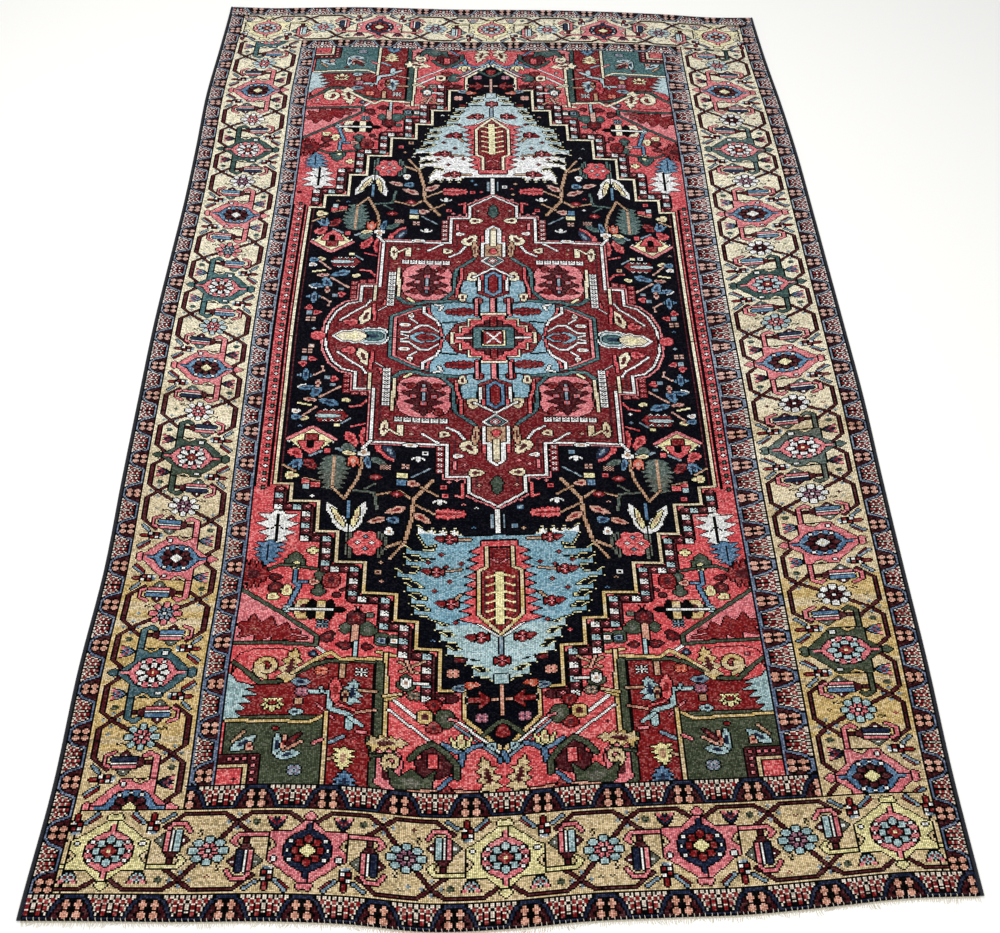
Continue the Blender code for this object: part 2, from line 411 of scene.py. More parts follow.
def weave_borders(knots):
    """Guards and main border on all four sides, the ends running the full width."""
    loom = Weaver(knots)
    half_x = COLUMNS // 2
    half_y = ROWS // 2
    sides = [loom.at(side * half_x, 0, -side) for side in (-1, 1)]
    ends = [loom.at(0, end * half_y, 1, -end).at(0, 0, 1, 1, True) for end in (-1, 1)]
    for edge, (bands, first, depth, schemes) in zip(sides, SIDES):
        weave_band(edge, bands, half_y, first, SIDE_ROSETTE_COUNT, schemes)
        repeat = (SIDE_GUARD[0], depth)
        reach = half_y - END_BANDS[2]
        weave_guard(edge, bands[2], bands[3], reach, repeat, INNER_SIDE_FLOWER, False)
    for edge, dye in zip(ends, "NH"):
        weave_band(edge, END_BANDS, half_x, END_FIRST, END_ROSETTE_COUNT, END_SCHEME)
        start, end = END_BANDS[2:]
        reach = half_x - SIDE_BANDS[2]
        weave_guard(edge, start, end, reach, END_GUARD, INNER_END_FLOWER, True, dye)
    for edge in sides:
        weave_guard(edge, 0, SIDE_BANDS[1], half_y, SIDE_GUARD, OUTER_SIDE_FLOWER, False)
    for edge, dye in zip(ends, "NH"):
        edge.box(0, END_BANDS[0], -half_x, half_x, "n", None)
        start, end = END_BANDS[:2]
        weave_guard(edge, start, end, half_x, END_GUARD, OUTER_END_FLOWER, True, dye)


# ---------------------------------------------------------------------------
# The weaver's stock of small motifs
# ---------------------------------------------------------------------------
# Charts in which 1, 2 and 3 stand for the dyes given where they are used.
UMBEL = ("....1....", "...111...", "1..111..1", "11.111.11", ".1111111.", "...111...")
QUAD = ("11.11", "11k11", ".k1k.", "11k11", "11.11")
DIAMOND = (
    "....1....", "..11111..", ".1112111.", "111222111", ".1112111.", "..11111..", "....1....",
)
ROUND = (".11.11.", "1121211", "1211121", ".11k11.", "1211121", "1121211", ".11.11.")
ASTER = ("1..1..1", ".1.1.1.", "..k1k..", "111k111", "..k1k..", ".1.1.1.", "1..1..1")
FLAME = (
    "......1......", ".....111.....", "..1..111..1..", "..11.111.11..", "...1111111...",
    "11.1kkkkk1.11", ".11kk222kk11.", "..1k22222k1..", "...1k222k1...", "..11k1k1k11..",
    ".11.11111.11.",
)
CROSSLET = ("..111..", "..111..", "1111111", "111k111", "1111111", "..111..", "..111..")
CHAIN = ("11111", "12121", "11211", "12121", "11111")
NET = ("1.1.1.1", ".1.1.1.", "1.1.1.1", ".1.1.1.", "1.1.1.1")
PAIR = ("111.111", "111.111", ".......", "111.111", "111.111")
PLUS = (".1.", "111", ".1.")
TEETH = ("1.1", ".1.")
DOT = ("11", "11")
CARET = (".1.", "1.1")
DASH = ("111",)
EYE = ("1111", "1221", "1221", "1111")
QUATREFOIL = ("...11", "k.112", "1kk12", "11kk2", "1122k")

# Filled forms from stem to tip: shares of the length and of half the width along one side.
FORMS = {
    "leaf": ((0, 0.15), (0.2, 0.8), (0.4, 1), (0.5, 0.7), (0.75, 0.75), (1, 0)),
    "bud": ((0, 0.35), (0.15, 0.9), (0.5, 1), (0.55, 0.6), (0.8, 0.6), (1, 0)),
    "round": ((0, 0.4), (0.1, 0.8), (0.3, 1), (0.5, 0.88), (0.7, 1), (0.9, 0.8), (1, 0.4)),
    "block": ((0, 1), (1, 1)),
    "tulip": ((0, 0.2), (0.25, 0.8), (0.95, 1), (0.62, 0.5), (1, 0)),
    "arrow": ((0, 0.3), (0.5, 0.3), (0.4, 1), (1, 0)),
    "oak": (
        (0, 0.12), (0.1, 0.35), (0.1, 1), (0.27, 0.4), (0.36, 1), (0.5, 0.35), (0.6, 0.85),
        (0.7, 0.3), (0.8, 0.55), (0.84, 0.2), (1, 0),
    ),
    "cask": ((0, 0), (0.12, 0.6), (0.16, 1), (0.84, 1), (0.88, 0.6), (1, 0)),
}
# A form and its heart: where each starts and ends along the form, and its share of the width.
WHOLE_AND_HEART = ((0, 1, 1), (0.24, 0.72, 0.42))


def form(weaver, kind, dyes, start, tip, width, edge="k"):
    """One of the filled forms, from its stem's end to its tip, with a heart in a second dye."""
    start = np.array(start, float)
    along = np.array(tip, float) - start
    across = np.array((-along[1], along[0])) * width / 2 / np.hypot(*along)
    for dye, (first, last, wide) in zip(dyes, WHOLE_AND_HEART):
        one, other = (
            [start + along * (first + (last - first) * share) + side * across * half * wide
             for share, half in FORMS[kind]]
            for side in (1, -1)
        )
        weaver.shape(one + other[::-1], dye, edge)
        edge = None


def draw(weaver, figures):
    """Weaves a table of figures, in order.

    A figure is its dyes, then its kind and then its places, in knots across and along. A form
    takes start, tip and width for each place, a chart takes its middles, and a line, whose kind
    is its width, takes the points it passes.
    """
    for dyes, kind, *places in figures:
        if isinstance(kind, str):
            for a0, b0, a1, b1, width in zip(*[iter(places)] * 5):
                form(weaver, kind, dyes, (a0, b0), (a1, b1), width)
            continue
        points = list(zip(places[::2], places[1::2]))
        if isinstance(kind, tuple):
            for a, b in points:
                weaver.at(a, b).chart(kind, dict(zip("123", dyes)), edge="k")
        else:
            weaver.band(points, dyes, kind, None if dyes == "k" else "k")


def scroll(weaver, radius, turns, dye, width):
    """A spiral that winds inwards from its radius, starting towards the far side."""
    points = []
    for step in range(int(turns * 10) + 1):
        turn = step / 10
        reach = radius * (1 - 0.62 * turn / turns)
        angle = 2 * math.pi * turn
        points.append((reach * math.sin(angle), reach * 1.3 * math.cos(angle)))
    weaver.band(points, dye, width)


def serrated(weaver, length, wide, teeth, dye, vein=None):
    """A pointed leaf along b with teeth on both sides and a vein."""
    outline = []
    for number in range(teeth):
        share = (number + 1) / (teeth + 0.5)
        reach = wide * (1 - 0.45 * abs(2 * share - 0.9))
        outline.append((reach * 0.55, length * (share - 0.75 / teeth)))
        outline.append((reach, length * share))
    left = [(-a, b) for a, b in reversed(outline)]
    weaver.shape([(0, 0), *outline, (0, length), *left], dye)
    if vein:
        weaver.band(((0, 1), (0, length * 0.85)), vein, 1.2, None)


def halved(weaver, points, dye):
    """Half of a shape that the axis cuts, with a line on its own edge alone."""
    weaver.shape([(-1, points[0][1]), *points, (-1, points[-1][1])], dye, None)
    weaver.band(points, "k", 1.0, None)


def both_ways(points):
    """Points of one half of an outline, and the same mirrored, as one closed outline."""
    return [*points, *((-a, b) for a, b in reversed(points) if a > 0)]


def stepped(corners):
    """An edge of square steps between corners, each step going along before it goes in."""
    points = [corners[0]]
    for (a0, _), (a1, b1) in zip(corners, corners[1:]):
        points += [(a0, b1), (a1, b1)]
    return points


# The stepped hexagon's edge, from mid-side to the point: half widths and distances along.
HEXAGON = (
    *stepped((
        (142, 0), (131, 172), (113, 190), (100, 221), (82, 251), (62, 280), (49, 304), (35, 328),
        (21, 363),
    )),
    (21, 386), (0, 411),
)
CHAIN_STEP = 6


def hexagon_ground(quarter):
    """Navy ground of one quarter with its gold edge and the chain of squares beyond it."""
    quarter.shape([(0, 0), *HEXAGON], "n", None)
    quarter.band(((138.5, 0), (138.5, 170)), "m", 1.0, None)
    quarter.band(HEXAGON, "g", 2.2)
    outer = [(a + 6.5, b + 6.5) for a, b in HEXAGON[1:-2]]
    quarter.band(outer[1:], "m", 6.0)
    squares = 0
    for (a0, b0), (a1, b1) in zip(outer[1:], outer[2:]):
        count = max(round((abs(a1 - a0) + abs(b1 - b0)) / CHAIN_STEP), 1)
        for number in range(count):
            share = number / count
            square = quarter.at(round(a0 + (a1 - a0) * share), round(b0 + (b1 - b0) * share))
            square.box(-2.5, 2.5, -2.5, 2.5, "mlmw"[squares % 4])
            square.chart(("k.k", ".k.", "k.k") if squares % 2 else (".p.", "p.p", ".p."))
            squares += 1
    # White and dark double line to the point.
    quarter.band(((26, 386), (0, 415)), "w", 1.4)
    quarter.band(((31, 386), (0, 419)), "h", 1.2)


def side_stripe(quarter):
    """Rose stripe beside the hexagon's long side, with white and dark green diamonds in turn."""
    quarter.box(145, FIELD_X + 1, 0, 176, "k", None)
    quarter.box(147, 153.5, 0, 176, "s", None)
    for b in range(4, 172, 15):
        quarter.at(150, b).chart(("..kkk..", "k.kwk.k", ".kwwwk.", "k.kwk.k", "..kkk.."))
        quarter.at(150, b + 7.5).chart(("..kkk..", "k.kvk.k", ".kvVvk.", "k.kvk.k", "..kkk.."))


# ---------------------------------------------------------------------------
# Pendants
# ---------------------------------------------------------------------------
# Hooked teeth down a pendant's side: how far out each starts and reaches, and its place along.
PENDANT_TEETH = (
    (40, 58, 240), (50, 58, 251), (51, 63, 263), (45, 57, 276), (43, 54, 287), (41, 52, 297),
    (28, 38, 310), (26, 35, 320), (22, 31, 332), (8, 20, 341), (6, 16, 351),
)
CREST_TEETH = (27, 34, 41)
FLAME_TEETH = 9
TABLET = ((0, 233), (8, 233), (8, 252), (13, 256), (13, 297), (0, 315))
# Florets on a pendant's pale ground: across, along, and the stem's reach inwards and along.
PENDANT_FLORETS = ((31, 225, 13, 0), (39, 257, 15, -3), (30, 287, 6, -9), (12, 318, 0, 0))


def pendant_edge():
    """One side of a pendant: a toothed crest, a corner hook and then hooked teeth to the tip."""
    points = [(4, 221), (22, 221)]
    for a in CREST_TEETH:
        points += [(a - 1, 219), (a, 214), (a + 3, 219)]
    points += [(50, 212), (50, 220), (45, 232), (38, 229)]
    for root, reach, b in PENDANT_TEETH:
        points += [(root, b - 4), (reach - 4, b - 3), (reach, b - 7), (reach, b)]
        points += [(reach - 9, b + 1), (reach - 10, b + 3), (root - 1, b + 4)]
    return [*points, (0, 355)]


def flame_edge():
    """The flamed surround of a pendant's tablet: even teeth that grow towards the tip."""
    points = [(0, 226), (11, 226)]
    for tooth in range(FLAME_TEETH):
        b = 232 + 8 * tooth
        points += [(12 + 0.6 * tooth, b), (19 + 0.8 * tooth, b + 5)]
    return [*points, (14, 305), (0, 320)]


def pendant_half(quarter, far):
    """Half of a pendant: a serrated palmette with a comb in its tablet."""
    edge = pendant_edge()
    quarter.band(edge[1:], "y", 2.0, None)
    halved(quarter, edge, "l" if far else "B")
    if far:
        white = [point for point in edge if point[1] < 262]
        quarter.shape([(-1, 221), *white, (40, 262), (26, 254), (-1, 254)], "w", None)
    else:
        pale = [point for point in edge if point[1] > 302]
        quarter.shape([(-1, 304), (14, 306), *pale, (-1, 355)], "l", None)
        quarter.shape([*edge[1:13], (46, 219), (24, 221)], "w", None)
    for a, b, inwards, along in PENDANT_FLORETS:
        quarter.band(((a, b), (a - inwards, b + along)), "t", 1.4)
        quarter.at(a, b).chart(QUATREFOIL, {"1": "r", "2": "p"}, quarter=True, edge="k")
        form(quarter, "bud", "r", (a + 3, b), (a + 9, b - 2), 5)
    draw(quarter, (("rp", PLUS, 36, 240, 31, 266, 24, 249, 33, 252, 27, 304, 44, 248, 40, 275),))
    halved(quarter, flame_edge(), "s")
    halved(quarter, TABLET, "r")
    quarter.band(TABLET[1:], "g", 2.0)
    quarter.band(((0, 318), (14, 305)), "w", 1.2)
    quarter.band(((9, 264), (9, 296), (0, 308)), "m", 1.0, None)
    quarter.band(((0, 249), (6, 244)), "p", 1.0, "k")


def pendant_comb(axis):
    """The straw comb in a pendant's tablet, and the stem and blooms on its axis."""
    axis.box(-4, 4, 236, 244, "r", "m")
    axis.box(-2.5, 2.5, 257, 306, "y")
    for b in range(260, 304, 8):
        axis.band(((-8, b + 2), (-3, b), (3, b), (8, b + 2)), "y", 1.6, None)
    axis.box(-1.5, 1.5, 195, 219, "w")
    axis.box(-4.5, -3, 200, 214, "h")
    axis.box(3, 4.5, 200, 214, "h")
    axis.band(((0, 318), (0, 332)), "h", 1.4)
    axis.at(0, 339).chart(QUATREFOIL, {"1": "r", "2": "p"}, quarter=True, edge="k")
    axis.box(-4, 4, 350, 358, "l")
    axis.band(((0, 360), (0, 383)), "e", 1.6)
    axis.band(((-11, 399), (-4, 391), (0, 388), (4, 391), (11, 399)), "v", 2.4)
    form(axis, "bud", "r", (0, 401), (0, 391), 9)


# ---------------------------------------------------------------------------
# Flowers on the navy ground
# ---------------------------------------------------------------------------
# This and the other tables of figures hold places in knots from the medallion's centre, across
# and along, in one quarter. Many of them were read off the photograph and turned into knots.
NAVY_FIGURES = (
    ("V", 1.0, 94, 221, 94, 244),
    ("V", 1.0, 92, 218, 92, 247),
    ("V", 1.0, 74, 220, 74, 246),
    ("V", 1.0, 72, 222, 72, 243),
    ("V", 1.0, 70, 225, 70, 238),
    ("t", 2.0, 87, 137, 87, 152, 89, 165, 97, 187),
    ("t", 1.8, 97, 187, 105, 175),
    ("V", 2.0, 91, 178, 78, 180, 76, 197),
    ("V", 1.4, 84, 176, 78, 171),
    ("t", 1.6, 76, 182, 62, 177, 55, 184),
    ("t", 2.4, 41, 164, 53, 185, 54, 205, 58, 228, 69, 235),
    ("t", 1.6, 58, 229, 67, 246),
    ("t", 1.6, 48, 172, 38, 180),
    ("t", 1.6, 51, 191, 40, 199),
    ("h", 1.2, 42, 151, 55, 162),
    ("oe", "tulip", 93, 140, 92, 154, 8),
    ("bN", "leaf", 84, 141, 82, 155, 5, 105, 83, 119, 77, 8, 134, 64, 119, 63, 6, 119, 61, 123, 75, 8),
    ("hN", "leaf", 105, 133, 90, 135, 5),
    ("yt", "leaf", 100, 137, 91, 139, 5, 103, 76, 97, 79, 5),
    ("wt", "bud", 86, 141, 86, 131, 8, 68, 223, 68, 215, 7, 136, 92, 130, 91, 6),
    ("sr", "leaf", 98, 114, 91, 131, 8, 87, 109, 86, 132, 6, 78, 125, 66, 146, 10),
    ("Vv", "bud", 100, 129, 92, 134, 8),
    ("Nh", "leaf", 73, 127, 65, 143, 7),
    ("Vv", "leaf", 81, 142, 71, 151, 7),
    ("e", NET, 72, 153),
    ("w", UMBEL, 51, 142, 37, 187),
    ("e", QUAD, 59, 151),
    ("rp", DIAMOND, 78, 164, 64, 181),
    ("y", "block", 60, 158, 60, 163, 7),
    ("b", "block", 60, 165, 60, 171, 7),
    ("er", "bud", 57, 168, 49, 169, 7),
    ("er", "leaf", 58, 194, 71, 201, 7, 70, 206, 82, 211, 6, 53, 199, 42, 209, 7),
    ("bN", "bud", 62, 208, 70, 207, 8),
    ("sm", EYE, 34, 171),
    ("sr", "bud", 134, 134, 126, 144, 9, 112, 52, 106, 53, 7, 129, 28, 122, 30, 6, 132, 32, 131, 39, 6),
    ("rm", "leaf", 124, 145, 117, 156, 9),
    ("bN", "tulip", 127, 145, 132, 156, 9),
    ("h", 1.8, 121, 141, 111, 134),
    ("s", "block", 110, 133, 110, 138, 4, 122, 166, 122, 172, 5, 119, 172, 113, 172, 5),
    ("t", 1.6, 138, 152, 130, 158),
    ("yt", "bud", 136, 163, 127, 163, 8, 130, 99, 124, 99, 7),
    ("l", "block", 122, 172, 122, 177, 4),
    ("t", 1.0, 124, 165, 113, 169),
    ("w", "leaf", 95, 221, 108, 190, 9, 92, 221, 83, 189, 8),
    ("yt", "leaf", 96, 216, 105, 195, 4, 91, 216, 87, 194, 4),
    ("b", 2.0, 94, 190, 94, 206),
    ("e", PAIR, 130, 20),
    ("h", "block", 131, 26, 131, 31, 4, 114, 49, 114, 53, 4, 110, 58, 110, 61, 4),
    ("bN", "leaf", 135, 49, 122, 49, 5, 129, 41, 129, 56, 5),
    ("e", 1.4, 123, 48, 117, 43, 118, 38),
    ("er", "leaf", 120, 54, 120, 64, 4, 129, 77, 119, 78, 5),
    ("w", 1.2, 134, 64, 132, 61, 128, 60),
    ("y", 1.8, 132, 82, 124, 84),
    ("e", 1.6, 118, 74, 105, 62),
    ("e", 1.4, 120, 86, 128, 96),
    ("bN", "bud", 136, 98, 129, 98, 7),
    ("r", "cask", 121, 96, 98, 96, 13),
    ("w", TEETH, 114, 89, 109, 89, 104, 89, 114, 101, 109, 101, 104, 101),
    ("l", "leaf", 120, 96, 102, 96, 5),
    ("s", 1.8, 97, 85, 90, 84, 86, 77),
    ("s", 1.6, 95, 108, 85, 104),
    ("h", 1.2, 103, 106, 96, 98),
    ("y", "block", 105, 105, 105, 108, 4),
    ("rp", CHAIN, 101, 49, 101, 55, 101, 61, 101, 67, 95, 69, 89, 70),
)


def fan_palmette(weaver):
    """A fan with a toothed edge under a pink roof."""
    for side in (-1, 1):
        for tooth in range(5):
            a = side * (14 - 3 * tooth)
            weaver.shape([(a - 2, 11), (a + 2, 11), (a + side, 16 + 3.2 * tooth)], "w")
    weaver.shape([(-14, 12), (0, -2), (14, 12), (5, 24), (0, 28), (-5, 24)], "y")
    weaver.shape([(-9, 13), (9, 13), (5, 23), (0, 27), (-5, 23)], "s")
    weaver.band(((-16, 11), (0, -3), (16, 11)), "p", 2.6)
    weaver.box(-4, 4, 5, 12, "r")
    weaver.box(-1.5, 1.5, 13, 20, "k")


def ground_flowers(quarter):
    """Branches, palmettes and small flowers round the medallion, in one quarter."""
    serrated(quarter.at(105, 140), 38, 12, 7, "V", "t")
    fan_palmette(quarter.at(121, 112))
    serrated(quarter.at(40, 199, 1, 1, True), -20, 7, 6, "s", "r")
    draw(quarter, NAVY_FIGURES)
    rose = quarter.at(83, 232)
    rose.rosette(12, 6, 1.4, "s", 0.8)
    draw(rose, (("w", PLUS, 5, 0, -4, 0), ("h", PLUS, 0, -6, 0, 6)))


# ---------------------------------------------------------------------------
# Rose corners of the field
# ---------------------------------------------------------------------------
ROSE_FIGURES = (
    ("y", CROSSLET, 115, 241),
    ("w", "oak", 138, 200, 138, 238, 26),
    ("k", 1.2, 138, 204, 138, 232),
    ("k", 1.2, 142, 220, 138, 214, 134, 220),
    ("b", "oak", 141, 231, 143, 256, 20),
    ("k", 1.0, 142, 235, 143, 251),
    ("vV", "bud", 125, 257, 125, 242, 13),
    ("yt", "leaf", 124, 261, 124, 250, 5),
    ("v", 1.6, 140, 259, 134, 255, 126, 255),
    ("v", 1.6, 123, 256, 110, 259),
    ("mr", "bud", 139, 267, 132, 267, 7, 103, 326, 98, 317, 8, 87, 330, 95, 329, 7, 80, 330, 74, 330, 6),
    ("b", 2.6, 124, 260, 124, 271, 121, 275, 126, 295),
    ("b", 1.8, 121, 271, 115, 271),
    ("vV", "bud", 109, 261, 109, 271, 7, 109, 284, 109, 273, 8),
    ("rm", "round", 102, 262, 102, 276, 10),
    ("er", "bud", 115, 271, 109, 271, 7),
    ("m", 1.6, 95, 278, 91, 275),
    ("m", "block", 98, 281, 98, 285, 4),
    ("mr", "round", 135, 272, 135, 282, 8, 85, 298, 85, 311, 11),
    ("yt", "bud", 128, 284, 128, 273, 7, 139, 284, 132, 287, 7),
    ("rm", "oak", 158, 264, 139, 264, 32),
    ("lN", "tulip", 122, 297, 130, 297, 6),
    ("gm", "round", 117, 288, 117, 306, 10),
    ("k", "leaf", 112, 288, 112, 307, 6, 105, 297, 91, 297, 6, 101, 288, 101, 307, 5),
    ("g", "block", 106, 289, 106, 306, 5),
    ("w", 1.2, 126, 297, 99, 297),
    ("hw", ASTER, 105, 311),
    ("k", 1.2, 87, 292, 82, 300),
    ("k", 1.2, 82, 292, 87, 300),
    ("vV", "leaf", 91, 309, 91, 320, 7),
    ("vV", "bud", 78, 320, 78, 307, 12),
    ("e", 3.4, 85, 312, 85, 325),
    ("l", 2.8, 84, 326, 84, 339),
    ("V", "block", 77, 299, 77, 303, 4),
    ("vV", "round", 69, 317, 69, 328, 9, 62, 318, 62, 328, 7),
    ("hN", "round", 69, 321, 69, 326, 5),
    ("wt", "round", 62, 321, 62, 325, 4),
    ("w", 1.4, 107, 331, 102, 336),
    ("Nh", "bud", 108, 340, 108, 335, 5),
    ("e", 1.8, 152, 306, 148, 310, 150, 315),
)
HORN = ((156, 278), (129, 301), (107, 322), (107, 330), (130, 328), (156, 328))
# Round the hexagon's point, where the field meets the end's guard.
END_FIGURES = (
    ("t", 1.6, 58, 341, 48, 349),
    ("t", 1.6, 57, 349, 44, 339),
    ("e", 1.4, 54, 340, 51, 349),
    ("vV", "bud", 54, 365, 54, 351, 10),
    ("wt", "tulip", 54, 363, 54, 353, 7),
    ("w", 1.4, 49, 358, 42, 358),
    ("Ve", ROUND, 50, 369),
    ("g", 1.8, 66, 371, 57, 368),
    ("w", 1.4, 60, 374, 48, 386),
    ("w", 1.4, 63, 382, 39, 404),
    ("gm", "round", 43, 380, 43, 390, 9),
    ("vV", "round", 32, 379, 32, 393, 10),
    ("rm", "bud", 38, 371, 38, 380, 9, 38, 397, 38, 388, 9),
    ("p", 1.8, 29, 386, 26, 387),
    ("yt", "tulip", 23, 411, 23, 399, 12),
    ("yt", "bud", 23, 408, 23, 397, 5),
    ("b", 2.4, 33, 405, 27, 410, 22, 412, 17, 408, 12, 406),
    ("b", 3.0, 22, 412, 24, 422),
    ("lN", "bud", 7, 405, 5, 411, 5),
    ("mr", "bud", 38, 430, 38, 406, 20),
    ("s", "block", 38, 413, 38, 423, 5),
    ("v", 3.0, 51, 418, 46, 410, 39, 405, 31, 412, 26, 420, 25, 430),
    ("vV", "tulip", 50, 442, 50, 424, 26),
    ("e", 1.6, 64, 442, 35, 438, 15, 440, 0, 443),
    ("rm", "bud", 31, 444, 31, 435, 8),
    ("b", 2.2, 35, 437, 29, 430),
    ("gm", "oak", 6, 441, 12, 414, 13),
    ("b", 2.4, 2, 419, 0, 412),
    ("w", "arrow", 20, 371, 4, 371, 19),
    ("r", "arrow", 19, 371, 5, 371, 15),
    ("e", 1.2, 6, 371, -6, 371),
    ("up", ROUND, 12, 386),
    ("ep", ROUND, 28, 349),
    ("oe", "bud", 21, 359, 12, 358, 6),
    ("hN", "tulip", 28, 361, 20, 361, 6),
    ("mr", "bud", 27, 337, 20, 337, 5),
)


def rose_corner(quarter):
    """Blossoms and leaves on the rose ground beyond the hexagon's steps."""
    draw(quarter, ROSE_FIGURES)
    quarter.shape(HORN, "p")
    form(quarter, "oak", "r", (154, 311), (111, 325), 24)
    quarter.band(((122, 320), (113, 323)), "p", 1.0)
    quarter.band(HORN, "v", 2.2)


PANEL_FIGURES = (
    ("sr", "round", 134, 334, 134, 364, 38),
    ("v", 2.6, 153, 345, 146, 352, 137, 363, 125, 362, 108, 348, 99, 344, 69, 342),
    ("gm", "oak", 122, 363, 118, 332, 14),
    ("g", 2.4, 119, 355, 108, 344, 98, 336, 92, 342, 69, 340),
    ("g", 2.2, 71, 334, 61, 336),
    ("g", 2.4, 66, 335, 65, 402),
    ("g", 2.0, 65, 374, 56, 368),
    ("v", 3.0, 69, 343, 69, 404),
    ("pm", "round", 63, 412, 63, 443, 16),
    ("v", 2.6, 74, 405, 71, 418, 72, 438, 63, 444, 55, 440),
    ("v", 1.6, 72, 418, 60, 415),
    ("gm", "oak", 75, 409, 51, 406, 13),
    ("g", 2.0, 153, 393, 107, 395, 99, 389),
    ("yr", FLAME, 129, 382),
    ("hN", "leaf", 119, 362, 108, 363, 7),
    ("up", ROUND, 113, 371),
    ("t", "block", 114, 376, 114, 381, 4),
    ("lN", "leaf", 119, 387, 111, 387, 6),
    ("oe", ROUND, 103, 353),
    ("t", "block", 90, 346, 90, 358, 3),
    ("w", ASTER, 80, 353),
    ("l", 3.0, 108, 370, 97, 371, 96, 384, 85, 388, 85, 399),
    ("l", 2.4, 85, 390, 78, 396),
    ("l", 1.8, 101, 370, 102, 367),
    ("sr", "leaf", 94, 358, 93, 381, 7),
    ("s", 1.6, 92, 380, 83, 384),
    ("lN", "oak", 85, 380, 83, 358, 13),
    ("tm", "leaf", 88, 368, 88, 379, 4),
    ("t", 1.8, 80, 368, 71, 368),
    ("e", 1.6, 81, 386, 71, 383),
    ("p", 1.0, 104, 380, 93, 393),
    ("p", 1.0, 81, 401, 75, 401),
    ("h", 2.2, 95, 410, 88, 405),
    ("yt", "oak", 87, 413, 88, 430, 13),
    ("t", 1.8, 98, 423, 93, 421),
    ("bN", "oak", 86, 447, 86, 429, 16),
    ("g", 2.4, 98, 387, 98, 446),
    ("lN", "leaf", 124, 421, 124, 403, 5, 124, 421, 111, 418, 7),
    ("er", "leaf", 120, 417, 120, 404, 4),
    ("mr", "leaf", 119, 413, 111, 403, 4),
    ("e", 1.8, 118, 415, 111, 410),
    ("r", 1.4, 126, 400, 125, 400),
    ("t", 1.8, 148, 409, 143, 402),
    ("lN", "leaf", 149, 416, 136, 405, 7),
    ("er", "bud", 139, 416, 139, 410, 5),
    ("p", 2.0, 104, 411, 100, 408),
    ("hu", ROUND, 114, 431),
    ("m", "block", 155, 422, 133, 422, 6, 136, 419, 136, 446, 6),
    ("p", DOT, 149, 422, 145, 422, 141, 422, 136, 422, 136, 427, 136, 432, 136, 437, 136, 442),
    ("s", "block", 148, 428, 148, 446, 14),
    ("g", 2.2, 155, 427, 140, 427, 140, 446),
)


def corner_panel(quarter, far):
    """Madder panel in a corner of the field, with its own square corner."""
    quarter.shape(
        [(73, 341), (100, 342), (124, 360), (138, 361), (153, 346), (153, 441), (73, 441)], "r"
    )
    quarter.box(99, 153, 390, 441, "q" if far else "v")
    serrated(quarter.at(155, 355), 38, 17, 6, "l")
    draw(quarter, PANEL_FIGURES)
    scroll(quarter.at(134, 349), 7, 1.3, "g", 3.0)
    scroll(quarter.at(61, 421), 5, 1.2, "g", 2.6)


# ---------------------------------------------------------------------------
# Medallion
# ---------------------------------------------------------------------------
MEDALLION = (
    (0, 192), (18, 177), (18, 160), (32, 160), (32, 125), (82, 125), (82, 64), (95, 64),
    *((95 + 23 * math.sin(t), 44 * math.cos(t)) for t in (0, 0.4, 0.8, 1.2, math.pi / 2)),
)
INNER_HEXAGON = ((72, 0), (72, 25), (54, 38), (28, 43), (0, 43))
MEDALLION_FIGURES = (
    ("wt", "leaf", 61, 127, 50, 127, 5, 66, 15, 57, 15, 5, 58, 24, 58, 32, 4),
    ("gm", "leaf", 74, 118, 73, 99, 6, 93, 15, 87, 37, 8),
    ("g", "block", 63, 105, 63, 117, 4),
    ("g", 1.6, 70, 111, 65, 115),
    ("gm", "bud", 37, 113, 30, 114, 8, 21, 122, 13, 136, 11, 18, 156, 8, 156, 9),
    ("w", 1.8, 32, 106, 25, 111, 21, 119),
    ("w", 1.6, 48, 114, 38, 123),
    ("tm", "leaf", 14, 126, 13, 103, 5),
    ("wt", "bud", 28, 137, 21, 138, 5),
    ("e", PLUS, 12, 170, 56, 115),
    ("p", PLUS, 14, 186, 21, 148, 31, 166, 26, 164),
    ("s", 1.8, 8, 127, 8, 134),
    ("p", 1.2, 27, 143, 27, 152),
    ("rw", CHAIN, 37, 130, 37, 136, 37, 142, 37, 148, 37, 154),
    ("s", 1.8, 22, 168, 22, 182, 26, 180),
    ("w", "round", 73, 0, 95, 0, 22),
    ("l", "round", 75, 0, 93, 0, 17),
    ("qN", "round", 77, 0, 91, 0, 10),
    ("w", "leaf", 88, 0, 113, 0, 19),
    ("gy", "leaf", 89, 0, 110, 0, 14),
    ("sr", "bud", 96, 17, 106, 18, 9),
    ("w", 1.4, 108, 20, 97, 33, 91, 38, 88, 45),
    ("g", 2.2, 85, 46, 85, 64),
    ("s", 2.2, 84, 20, 85, 40),
    ("w", 1.2, 82, 32, 76, 38),
    ("s", 2.0, 78, 40, 76, 48),
    ("w", 1.2, 53, 17, 59, 24),
    ("w", 1.4, 64, 3, 57, 0),
    ("w", 1.4, 64, 6, 59, 6, 55, 11, 51, 15, 46, 15, 37, 7),
    ("Br", "leaf", 58, 0, 36, 0, 14),
    ("rm", "leaf", 54, 0, 39, 0, 9),
)
